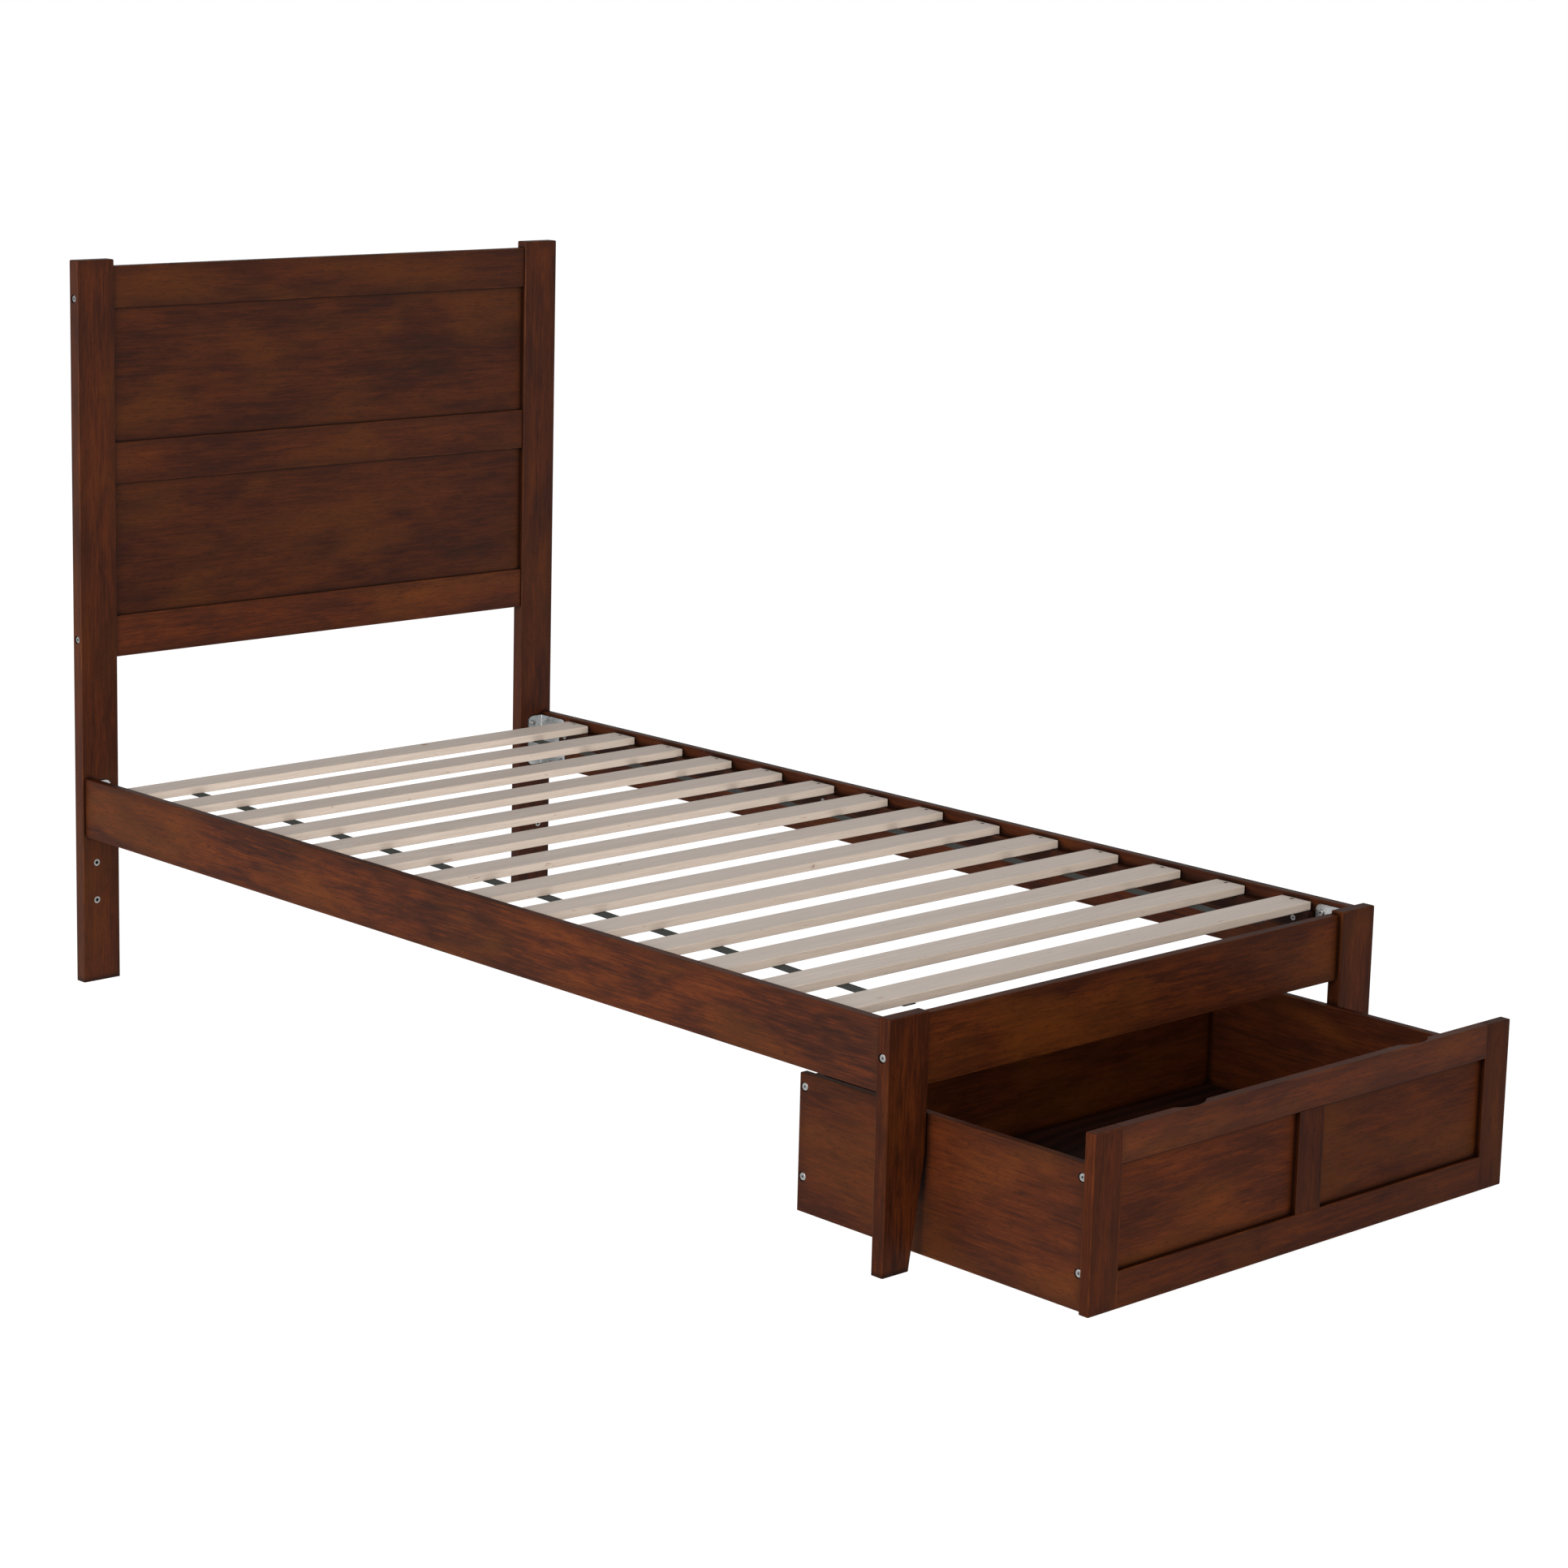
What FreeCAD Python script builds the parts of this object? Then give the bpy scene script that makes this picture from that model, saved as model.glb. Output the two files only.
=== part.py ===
import FreeCAD, Part
import math
import os

os.makedirs("parts", exist_ok=True)

# Platform bed with a roll-out storage drawer at the foot. Millimetres, +Z up, head towards +Y.
# While it is modelled, Y = 0 is the front face of the foot legs and X = 0 the middle of the bed.

# ---- overall sizes ----
BED_WIDTH = 1060.0
BED_LENGTH = 2003.0
POST_HEIGHT = 1261.5
DRAWER_PULL = 295.0          # how far the drawer stands open at rest, from its closed place

# ---- head posts and foot legs ----
POST_WIDTH = 74.6
POST_THICKNESS = 24.6
LEG_HEIGHT = 369.6
LEG_WIDTH = 79.0
LEG_FOOT_WIDTH = 52.2
LEG_THICKNESS = 23.0
LEG_TAPER_START = 167.0
POST_EASING = 2.5            # radius on the posts' and legs' edges

# ---- side rails and foot rail ----
RAIL_HEIGHT = 103.2
RAIL_THICKNESS = 16.5
RAIL_DROP = 5.3              # the rails' top below the legs' top
SIDE_RAIL_INSET = 5.4        # the side rails' outer face inside the legs' outer face
FOOT_RAIL_SETBACK = 7.5      # the foot rail's face behind the legs' face
BOARD_EASING = 1.5

# ---- headboard ----
HEADBOARD_DROP = 12.0        # the headboard's top below the posts' top
HEADBOARD_HEIGHT = 677.2
HEADBOARD_RAIL_HEIGHT = 72.0
HEADBOARD_RAIL_THICKNESS = 16.5
HEADBOARD_RAIL_SETBACK = 4.0
HEADBOARD_PANEL_THICKNESS = 6.0
PANEL_GROOVE_DEPTH = 9.0
PANEL_EDGE_GAP = 1.0         # between a panel's edge and the bottom of its groove
PANEL_FACE_GAP = 0.1         # between a panel's face and the groove's wall
GROOVE_STOP = 10.0           # grooves in uprights end this far short of the outer rails' edges

# ---- slats, cleats and straps ----
SLAT_COUNT = 14
SLAT_WIDTH = 58.5
SLAT_THICKNESS = 13.6
SLAT_FIELD_GAP = 81.2        # from the end slats to the foot rail and to the head posts
SLAT_EDGE_RADIUS = 1.6
SLAT_END_GAP = 3.0           # between a slat's end and the side rail
SLAT_TOP_DROP = 6.2          # the slats' top below the side rails' top
CLEAT_WIDTH = 18.5
CLEAT_HEIGHT = 27.0
CLEAT_BRACKET_GAP = 2.0
STRAP_WIDTH = 25.0
STRAP_THICKNESS = 1.6
STRAP_FROM_MIDDLE = 384.0

# ---- corner brackets ----
BRACKET_THICKNESS = 2.5
BRACKET_HEIGHT = 94.0
BRACKET_TOP_DROP = 6.0       # the brackets' top below the side rails' top
BRACKET_POST_LEG = 34.0
BRACKET_RAIL_LEG = 72.0
BRACKET_CORNER_RADIUS = 10.0
BRACKET_BEND_RADIUS = 3.5
BRACKET_BOLT_FROM_END = 11.0

# ---- fasteners ----
HOLE_PITCH = 67.0            # vertical pitch of the bracket holes and of the free inserts
BOLT_CLEARANCE = 0.4         # radial, round a bolt in wood or plate
SNUG_GAP = 0.05              # radial, round what is pressed or screwed in
FRAME_BOLT_RADIUS = 3.0
FRAME_BOLT_HEAD_RADIUS = 6.0
FRAME_BOLT_HEAD_HEIGHT = 2.6
FRAME_BOLT_GRIP = 30.0       # thread past the joint face, through the barrel nut
FRAME_BOLT_RECESS = 4.0
FRAME_BOLT_RECESS_RADIUS = 7.0
FRAME_BOLT_SOCKET = 4.0      # across flats
FRAME_BOLT_TOP = 65.5        # the upper headboard bolt below the posts' top
BARREL_NUT_RADIUS = 5.0
BARREL_NUT_END_GAP = 2.0
BARREL_NUT_FROM_JOINT = 22.0
FOOT_BOLT_FORWARD = 2.6      # the foot rail's bolts in front of the rail's middle
INSERT_RADIUS = 5.0
INSERT_BORE_RADIUS = 3.0
INSERT_LENGTH = 12.0
INSERT_FLANGE_RADIUS = 6.0
INSERT_FLANGE_HEIGHT = 0.8
INSERT_FROM_OUTSIDE = 27.8   # the free inserts, from the post's outer face
INSERT_LOWEST = 145.5
BRACKET_BOLT_HEAD_RADIUS = 5.25
BRACKET_BOLT_HEAD_HEIGHT = 3.0
BRACKET_BOLT_LENGTH = 14.0
CLEAT_SCREW_COUNT = 6
CLEAT_SCREW_RADIUS = 2.0
CLEAT_SCREW_HEAD_RADIUS = 4.5
CLEAT_SCREW_LENGTH = 30.0
CLEAT_SCREW_FOOT_END = 29.5  # the first screw from the cleat's foot end
CLEAT_SCREW_HEAD_END = 15.5  # the last screw from its head end
SLAT_SCREW_RADIUS = 1.8
SLAT_SCREW_HEAD_RADIUS = 3.6
SLAT_SCREW_LENGTH = 25.0
SLAT_SCREW_FROM_END = 7.5
SLAT_SCREW_OFFSET = 3.0      # towards the head from the slat's middle
STAPLE_WIRE = 1.0
STAPLE_CROWN = 10.0
STAPLE_LEG = 9.0

# ---- drawer box ----
DRAWER_SIDE_GAP = 1.7        # each side of the drawer box, to the legs
DRAWER_SIDE_LENGTH = 551.0
DRAWER_SIDE_HEIGHT = 206.8
DRAWER_SIDE_THICKNESS = 14.0
DRAWER_FLOOR_GAP = 16.0      # the box sides above the floor
DRAWER_END_THICKNESS = 18.0
DRAWER_BACK_DROP = 7.0       # the box back's top below the sides' top
DRAWER_BOTTOM_THICKNESS = 8.0
DRAWER_BOTTOM_GROOVE = 6.0
DRAWER_BOTTOM_GAP = 0.4
DRAWER_BOLT_LOW = 53.0       # above the sides' lower edge
DRAWER_BOLT_PITCH = 134.0
DRAWER_BOLT_GRIP = 28.0
DRAWER_BOLT_RECESS = 3.2

# ---- drawer face ----
FACE_HEIGHT = 255.0
FACE_THICKNESS = 17.6
FACE_FLOOR_GAP = 15.1
FACE_OVERHANG = 7.3          # the face past the box side
FACE_CLOSED_GAP = 1.1        # between the closed face's back and the legs
FACE_STILE_WIDTH = 56.3
FACE_MULLION_WIDTH = 54.0
FACE_TOP_RAIL_HEIGHT = 51.2
FACE_BOTTOM_RAIL_HEIGHT = 53.4
FACE_PANEL_THICKNESS = 5.0
FACE_PANEL_RECESS = 7.5
FACE_GROOVE_DEPTH = 8.0
FACE_EASING = 1.5
SCOOP_FROM_MIDDLE = 246.0
SCOOP_WIDTH = 70.0
SCOOP_DEPTH = 14.0           # into the face's thickness
SCOOP_DROP = 26.0            # down from the face's top
FACE_SCREW_RADIUS = 2.0
FACE_SCREW_HEAD_RADIUS = 4.0
FACE_SCREW_LENGTH = 30.0
FACE_SCREW_EDGE = 12.0       # from the bottom of a stile's groove
FACE_SCREW_PITCH = 60.0      # between an upright's two screws

# ---- casters ----
WHEEL_RADIUS = 15.0
WHEEL_WIDTH = 12.0
WHEEL_TREAD_RADIUS = 1.5
WHEEL_HUB_RADIUS = 6.0
WHEEL_HUB_PROUD = 0.8
WHEEL_WEB_DEPTH = 2.0
WHEEL_RIM = 3.5
WHEEL_TO_BOX_SIDE = 20.8     # wheel's middle from the box side's inner face
WHEEL_FROM_BOX_END = 75.5
AXLE_RADIUS = 2.5
AXLE_HEAD_RADIUS = 4.0
AXLE_HEAD_HEIGHT = 1.4
AXLE_RUNNING_GAP = 0.06
CASTER_EAR_THICKNESS = 2.0
CASTER_EAR_GAP = 0.8         # between the hub's end and the ear
CASTER_EAR_RADIUS = 7.0
CASTER_PLATE_THICKNESS = 2.2
CASTER_PLATE_LENGTH = 46.0
CASTER_WHEEL_CLEARANCE = 4.0
CASTER_SCREW_RADIUS = 1.7
CASTER_SCREW_HEAD_RADIUS = 3.2
CASTER_SCREW_LENGTH = 8.5
CASTER_SCREW_FROM_END = 6.0

# ---- places that follow from the sizes ----
half_width = BED_WIDTH / 2
post_inner_x = half_width - POST_WIDTH
leg_inner_x = half_width - LEG_WIDTH
head_front_y = BED_LENGTH - POST_THICKNESS
rail_top_z = LEG_HEIGHT - RAIL_DROP
rail_low_z = rail_top_z - RAIL_HEIGHT
rail_outer_x = half_width - SIDE_RAIL_INSET
rail_inner_x = rail_outer_x - RAIL_THICKNESS
foot_rail_y = (FOOT_RAIL_SETBACK, FOOT_RAIL_SETBACK + RAIL_THICKNESS)

headboard_top_z = POST_HEIGHT - HEADBOARD_DROP
headboard_low_z = headboard_top_z - HEADBOARD_HEIGHT
headboard_mid_z = (headboard_top_z + headboard_low_z) / 2
headboard_y = (head_front_y + HEADBOARD_RAIL_SETBACK,
               head_front_y + HEADBOARD_RAIL_SETBACK + HEADBOARD_RAIL_THICKNESS)
headboard_mid_y = sum(headboard_y) / 2
headboard_panel_y = (headboard_mid_y - HEADBOARD_PANEL_THICKNESS / 2,
                     headboard_mid_y + HEADBOARD_PANEL_THICKNESS / 2)
headboard_bolt_z = (POST_HEIGHT - FRAME_BOLT_TOP, headboard_low_z + HEADBOARD_RAIL_HEIGHT / 2)
foot_rail_mid_y = sum(foot_rail_y) / 2
foot_bolt_y = foot_rail_mid_y - FOOT_BOLT_FORWARD
foot_bolt_z = rail_low_z + RAIL_HEIGHT / 2

slat_top_z = rail_top_z - SLAT_TOP_DROP
slat_low_z = slat_top_z - SLAT_THICKNESS
slat_end_x = rail_inner_x - SLAT_END_GAP
slat_first_y = head_front_y - SLAT_FIELD_GAP
slat_pitch = (slat_first_y - foot_rail_y[1] - SLAT_FIELD_GAP - SLAT_WIDTH) / (SLAT_COUNT - 1)
bracket_top_z = rail_top_z - BRACKET_TOP_DROP
bracket_low_z = bracket_top_z - BRACKET_HEIGHT
bracket_bolt_z = [(bracket_top_z + bracket_low_z) / 2 + side * HOLE_PITCH / 2 for side in (-1, 1)]
bracket_post_bolt_x = rail_inner_x - BRACKET_POST_LEG + BRACKET_BOLT_FROM_END
cleat_y = (LEG_THICKNESS + BRACKET_RAIL_LEG + CLEAT_BRACKET_GAP,
           head_front_y - BRACKET_RAIL_LEG - CLEAT_BRACKET_GAP)
cleat_screw_span = cleat_y[1] - cleat_y[0] - CLEAT_SCREW_HEAD_END - CLEAT_SCREW_FOOT_END
cleat_screw_pitch = cleat_screw_span / (CLEAT_SCREW_COUNT - 1)
insert_x = half_width - INSERT_FROM_OUTSIDE
insert_z = [INSERT_LOWEST, INSERT_LOWEST + HOLE_PITCH]

box_outer_x = leg_inner_x - DRAWER_SIDE_GAP
box_inner_x = box_outer_x - DRAWER_SIDE_THICKNESS
face_half = box_outer_x + FACE_OVERHANG
face_back_y = -FACE_CLOSED_GAP - DRAWER_PULL
face_front_y = face_back_y - FACE_THICKNESS
box_back_y = face_back_y + DRAWER_SIDE_LENGTH
box_low_z = DRAWER_FLOOR_GAP
box_top_z = box_low_z + DRAWER_SIDE_HEIGHT
box_bolt_y = (face_back_y + DRAWER_END_THICKNESS / 2, box_back_y - DRAWER_END_THICKNESS / 2)
box_bolt_z = (box_low_z + DRAWER_BOLT_LOW, box_low_z + DRAWER_BOLT_LOW + DRAWER_BOLT_PITCH)
face_low_z = FACE_FLOOR_GAP
face_top_z = face_low_z + FACE_HEIGHT
face_opening_z = (face_low_z + FACE_BOTTOM_RAIL_HEIGHT, face_top_z - FACE_TOP_RAIL_HEIGHT)
face_panel_y = (face_front_y + FACE_PANEL_RECESS,
                face_front_y + FACE_PANEL_RECESS + FACE_PANEL_THICKNESS)
caster_plate_top_z = 2 * WHEEL_RADIUS + CASTER_WHEEL_CLEARANCE + CASTER_PLATE_THICKNESS
drawer_bottom_z = (caster_plate_top_z, caster_plate_top_z + DRAWER_BOTTOM_THICKNESS)
wheel_x = box_inner_x - WHEEL_TO_BOX_SIDE
wheel_y = {"front": face_back_y + WHEEL_FROM_BOX_END, "back": box_back_y - WHEEL_FROM_BOX_END}
caster_ear_inner = WHEEL_WIDTH / 2 + WHEEL_HUB_PROUD + CASTER_EAR_GAP
caster_ear_outer = caster_ear_inner + CASTER_EAR_THICKNESS

# The row's origin is on the floor, under the middle of the bed with its drawer at rest.
to_origin = FreeCAD.Vector(0, -(BED_LENGTH + face_front_y) / 2, 0)

X_AXIS = FreeCAD.Vector(1, 0, 0)
Y_AXIS = FreeCAD.Vector(0, 1, 0)
Z_AXIS = FreeCAD.Vector(0, 0, 1)


# ---- helpers ----

def block(x, y, z):
    """A box between the two ends given on each axis."""
    return Part.makeBox(x[1] - x[0], y[1] - y[0], z[1] - z[0], FreeCAD.Vector(x[0], y[0], z[0]))


def rod(radius, start, direction, length):
    return Part.makeCylinder(radius, length, start, direction)


def run_along(edge, axis):
    """Whether a straight edge runs along the axis."""
    if len(edge.Vertexes) < 2:
        return False
    way = edge.Vertexes[1].Point - edge.Vertexes[0].Point
    return abs(abs(way.dot(axis)) - way.Length) < 1e-6


def eased(shape, radius, chosen):
    """The shape with a round-over on each edge that chosen accepts."""
    return shape.makeFillet(radius, [edge for edge in shape.Edges if chosen(edge)])


def board(x, y, z, axis, radius=BOARD_EASING):
    """A board with its long edges, those along the axis, rounded over."""
    return eased(block(x, y, z), radius, lambda edge: run_along(edge, axis))


def placed(shape, point, direction):
    """A shape built from the origin along +Z, moved to the point and turned to the direction."""
    moved = shape.copy()
    moved.Placement = FreeCAD.Placement(point, FreeCAD.Rotation(Z_AXIS, direction))
    return moved


def mirrored(shape):
    return shape.mirror(FreeCAD.Vector(0, 0, 0), X_AXIS)


def both_sides(shapes):
    """Left pieces and their mirror images."""
    return shapes + [mirrored(shape) for shape in shapes]


def save(name, shapes):
    """Write one node: a single solid, or a group of separate ones."""
    if not isinstance(shapes, list):
        shapes = [shapes]
    shape = shapes[0].copy() if len(shapes) == 1 else Part.makeCompound(shapes)
    shape.translate(to_origin)
    shape.exportStep("parts/" + name + ".step")


def save_pair(name, left):
    save(name + "_left", left)
    save(name + "_right", mirrored(left))


# ---- fasteners, each built along +Z with its head's underside at the origin ----

def hexagon(across_flats, height, base_z):
    corner = across_flats / math.sqrt(3)
    points = [FreeCAD.Vector(corner * math.cos(math.radians(60 * side)),
                             corner * math.sin(math.radians(60 * side)), base_z) for side in range(7)]
    return Part.Face(Part.makePolygon(points)).extrude(Z_AXIS * height)


def socket_bolt(head_radius, head_height, shank_radius, length):
    """A bolt with a low round head and a hex socket; the head stands on -Z."""
    head = Part.makeCylinder(head_radius, head_height, Z_AXIS * -head_height)
    head = eased(head, head_height / 3, lambda edge: edge.CenterOfMass.z < -head_height * 0.9)
    shank = Part.makeCylinder(shank_radius, length)
    bolt = head.fuse(shank).removeSplitter()
    return bolt.cut(hexagon(FRAME_BOLT_SOCKET, head_height, -head_height))


def countersunk_screw(head_radius, shank_radius, length):
    """A screw whose flat head is flush with Z = 0 and which runs down +Z."""
    head_height = head_radius - shank_radius
    head = Part.makeCone(head_radius, shank_radius, head_height)
    point = Part.makeCone(shank_radius, shank_radius * 0.2, shank_radius * 2,
                          Z_AXIS * (length - shank_radius * 2))
    shank = Part.makeCylinder(shank_radius, length - shank_radius * 2)
    screw = head.fuse(shank).fuse(point).removeSplitter()
    slot = hexagon(shank_radius * 1.6, head_height * 0.7, 0)
    return screw.cut(slot)


def countersunk_hole(head_radius, shank_radius, length):
    """What a countersunk screw takes out of the wood."""
    head_height = head_radius - shank_radius
    cone = Part.makeCone(head_radius + SNUG_GAP, shank_radius + SNUG_GAP, head_height)
    shank = Part.makeCylinder(shank_radius + SNUG_GAP, length + 1)
    return cone.fuse(shank)


def insert_solid():
    """A threaded insert: a sleeve with a thin flange at Z = 0, running down +Z."""
    sleeve = Part.makeCylinder(INSERT_RADIUS, INSERT_LENGTH)
    flange = Part.makeCylinder(INSERT_FLANGE_RADIUS, INSERT_FLANGE_HEIGHT)
    bore = Part.makeCylinder(INSERT_BORE_RADIUS, INSERT_LENGTH)
    return sleeve.fuse(flange).removeSplitter().cut(bore)


def insert_hole():
    """What an insert takes out of the wood, with room for the bolt's end behind it."""
    sleeve = Part.makeCylinder(INSERT_RADIUS + SNUG_GAP, INSERT_LENGTH + 1)
    flange = Part.makeCylinder(INSERT_FLANGE_RADIUS + SNUG_GAP, INSERT_FLANGE_HEIGHT)
    return sleeve.fuse(flange)


# ---- where the fasteners go, on the left half ----

def frame_bolt_places():
    """Joint-face x, y and z of each bolt through a head post or foot leg, left half."""
    places = [(-post_inner_x, headboard_mid_y, z) for z in headboard_bolt_z]
    places.append((-leg_inner_x, foot_bolt_y, foot_bolt_z))
    return places


def frame_bolt_head_x():
    return -half_width + FRAME_BOLT_RECESS


def cleat_screw_places():
    first = cleat_y[0] + CLEAT_SCREW_FOOT_END
    return [first + step * cleat_screw_pitch for step in range(CLEAT_SCREW_COUNT)]


def slat_span(number):
    """The near and far y of a slat; slat 1 is at the head."""
    far = slat_first_y - (number - 1) * slat_pitch
    return far - SLAT_WIDTH, far


def slat_screw_y(number):
    near, far = slat_span(number)
    return (near + far) / 2 + SLAT_SCREW_OFFSET


def bracket_bolt_seats():
    """Seat point on the bracket's face and inward direction of each bracket bolt, left half."""
    seats = []
    for z in bracket_bolt_z:
        for post_y, away in ((LEG_THICKNESS, 1), (head_front_y, -1)):
            on_post = FreeCAD.Vector(-bracket_post_bolt_x, post_y + away * BRACKET_THICKNESS, z)
            rail_y = post_y + away * (BRACKET_RAIL_LEG - BRACKET_BOLT_FROM_END)
            on_rail = FreeCAD.Vector(-rail_inner_x + BRACKET_THICKNESS, rail_y, z)
            seats.append((on_post, Y_AXIS * -away))
            seats.append((on_rail, X_AXIS * -1))
    return seats


def insert_seats():
    """Mouth point and inward direction of each threaded insert, left half."""
    seats = [(seat + way * BRACKET_THICKNESS, way) for seat, way in bracket_bolt_seats()]
    seats += [(FreeCAD.Vector(-insert_x, head_front_y, z), Y_AXIS) for z in insert_z]
    return seats


def insert_holes():
    return [placed(insert_hole(), seat, way) for seat, way in insert_seats()]


# ---- head posts and foot legs ----

def upright(profile_points, y, easing):
    """A post or leg cut from a flat outline, its long and top edges rounded over."""
    outline = Part.makePolygon([FreeCAD.Vector(x, y[0], z) for x, z in profile_points])
    solid = Part.Face(outline).extrude(Y_AXIS * (y[1] - y[0]))
    return eased(solid, easing, lambda edge: edge.CenterOfMass.z > 1.0)


def frame_bolt_cut(place):
    """The hole and head recess of a bolt that enters from the outer side face."""
    joint_x, y, z = place
    shank = rod(FRAME_BOLT_RADIUS + BOLT_CLEARANCE, FreeCAD.Vector(-half_width, y, z), X_AXIS,
                joint_x + half_width + FRAME_BOLT_GRIP + 1)
    recess = rod(FRAME_BOLT_RECESS_RADIUS, FreeCAD.Vector(-half_width, y, z), X_AXIS, FRAME_BOLT_RECESS)
    return shank.fuse(recess)


def head_post():
    outer, inner = -half_width, -post_inner_x
    outline = [(outer, 0), (inner, 0), (inner, POST_HEIGHT), (outer, POST_HEIGHT), (outer, 0)]
    post = upright(outline, (head_front_y, BED_LENGTH), POST_EASING)
    groove_y = (headboard_panel_y[0] - PANEL_FACE_GAP, headboard_panel_y[1] + PANEL_FACE_GAP)
    groove_z = (headboard_low_z + GROOVE_STOP, headboard_top_z - GROOVE_STOP)
    post = post.cut(block((inner - PANEL_GROOVE_DEPTH, inner), groove_y, groove_z))
    post = post.cut([frame_bolt_cut(place) for place in frame_bolt_places()[:2]])
    return post.cut(insert_holes())


def foot_leg():
    outer, inner = -half_width, -leg_inner_x
    outline = [(outer, 0), (outer + LEG_FOOT_WIDTH, 0), (inner, LEG_TAPER_START),
               (inner, LEG_HEIGHT), (outer, LEG_HEIGHT), (outer, 0)]
    leg = upright(outline, (0, LEG_THICKNESS), POST_EASING)
    leg = leg.cut(frame_bolt_cut(frame_bolt_places()[2]))
    return leg.cut(insert_holes())


# ---- rails ----

def side_rail():
    rail = board((-rail_outer_x, -rail_inner_x), (LEG_THICKNESS, head_front_y),
                 (rail_low_z, rail_top_z), Y_AXIS)
    screws = [placed(countersunk_hole(CLEAT_SCREW_HEAD_RADIUS, CLEAT_SCREW_RADIUS, CLEAT_SCREW_LENGTH),
                     FreeCAD.Vector(-rail_inner_x + CLEAT_WIDTH, y, cleat_mid_z()), X_AXIS * -1)
              for y in cleat_screw_places()]
    return rail.cut(insert_holes()).cut(screws)


def barrel_nut_cut(place, rail_y):
    """The cross hole of a barrel nut, open on the rail's hidden face."""
    joint_x, _, z = place
    start = FreeCAD.Vector(joint_x + BARREL_NUT_FROM_JOINT, rail_y[0] + BARREL_NUT_END_GAP, z)
    return rod(BARREL_NUT_RADIUS + SNUG_GAP, start, Y_AXIS, rail_y[1] - rail_y[0])


def joint_cuts(places, rail_y):
    """Bolt and barrel-nut holes at both ends of a cross rail."""
    return both_sides([frame_bolt_cut(place).fuse(barrel_nut_cut(place, rail_y)) for place in places])


def foot_rail():
    rail = board((-leg_inner_x, leg_inner_x), foot_rail_y, (rail_low_z, rail_top_z), X_AXIS)
    return rail.cut(joint_cuts(frame_bolt_places()[2:], foot_rail_y))


def headboard_rail(low_z, bolt_zs, grooved_above, grooved_below, tenon_trim):
    """A headboard rail: grooved for its panels, with a stub tenon at each end."""
    high_z = low_z + HEADBOARD_RAIL_HEIGHT
    rail = board((-post_inner_x, post_inner_x), headboard_y, (low_z, high_z), X_AXIS)
    tenon_end = post_inner_x + PANEL_GROOVE_DEPTH - PANEL_EDGE_GAP
    tenon_z = (low_z + tenon_trim[0], high_z - tenon_trim[1])
    rail = rail.fuse(block((-tenon_end, tenon_end), headboard_panel_y, tenon_z)).removeSplitter()
    groove_y = (headboard_panel_y[0] - PANEL_FACE_GAP, headboard_panel_y[1] + PANEL_FACE_GAP)
    past_end = (-tenon_end - 1, tenon_end + 1)
    if grooved_above:
        rail = rail.cut(block(past_end, groove_y, (high_z - PANEL_GROOVE_DEPTH, high_z + 1)))
    if grooved_below:
        rail = rail.cut(block(past_end, groove_y, (low_z - 1, low_z + PANEL_GROOVE_DEPTH)))
    if bolt_zs:
        rail = rail.cut(joint_cuts([(-post_inner_x, headboard_mid_y, z) for z in bolt_zs], headboard_y))
    return rail


def headboard_panel(low_z, high_z):
    """A flat panel whose edges sit in the grooves round its opening."""
    reach = PANEL_GROOVE_DEPTH - PANEL_EDGE_GAP
    return block((-post_inner_x - reach, post_inner_x + reach), headboard_panel_y,
                 (low_z - reach, high_z + reach))


def headboard():
    low = headboard_low_z
    mid = headboard_mid_z - HEADBOARD_RAIL_HEIGHT / 2
    top = headboard_top_z - HEADBOARD_RAIL_HEIGHT
    trim = GROOVE_STOP + 0.5
    save("headboard_bottom_rail", headboard_rail(low, headboard_bolt_z[1:], True, False, (trim, 0)))
    save("headboard_middle_rail", headboard_rail(mid, (), True, True, (0, 0)))
    save("headboard_top_rail", headboard_rail(top, headboard_bolt_z[:1], False, True, (0, trim)))
    save("headboard_lower_panel", headboard_panel(low + HEADBOARD_RAIL_HEIGHT, mid))
    save("headboard_upper_panel", headboard_panel(mid + HEADBOARD_RAIL_HEIGHT, top))


# ---- slats and what carries them ----

def cleat_mid_z():
    return slat_low_z - CLEAT_HEIGHT / 2


def slat_cleat():
    x = (-rail_inner_x, -rail_inner_x + CLEAT_WIDTH)
    cleat = board(x, cleat_y, (slat_low_z - CLEAT_HEIGHT, slat_low_z), Y_AXIS, 1.0)
    into_rail = countersunk_hole(CLEAT_SCREW_HEAD_RADIUS, CLEAT_SCREW_RADIUS, CLEAT_SCREW_LENGTH)
    cuts = [placed(into_rail, FreeCAD.Vector(x[1], y, cleat_mid_z()), X_AXIS * -1)
            for y in cleat_screw_places()]
    cuts += [slat_screw_hole(number) for number in range(1, SLAT_COUNT + 1)]
    return cleat.cut(cuts)


def slat_screw_seat(number):
    return FreeCAD.Vector(-slat_end_x + SLAT_SCREW_FROM_END, slat_screw_y(number), slat_top_z)


def slat_screw_hole(number):
    hole = countersunk_hole(SLAT_SCREW_HEAD_RADIUS, SLAT_SCREW_RADIUS, SLAT_SCREW_LENGTH)
    return placed(hole, slat_screw_seat(number), Z_AXIS * -1)


def staple_leg_places(number):
    """The two leg axes of the left strap's staple under a slat."""
    near, far = slat_span(number)
    middle = FreeCAD.Vector(-STRAP_FROM_MIDDLE, (near + far) / 2, slat_low_z - STRAP_THICKNESS - STAPLE_WIRE)
    step = (STAPLE_CROWN - STAPLE_WIRE) / 2
    return [middle + X_AXIS * step, middle - X_AXIS * step]


def staple_holes(number):
    reach = STAPLE_WIRE / 2 + SNUG_GAP
    return [block((foot.x - reach, foot.x + reach), (foot.y - reach, foot.y + reach),
                  (foot.z, foot.z + STAPLE_WIRE + STAPLE_LEG)) for foot in staple_leg_places(number)]


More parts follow.
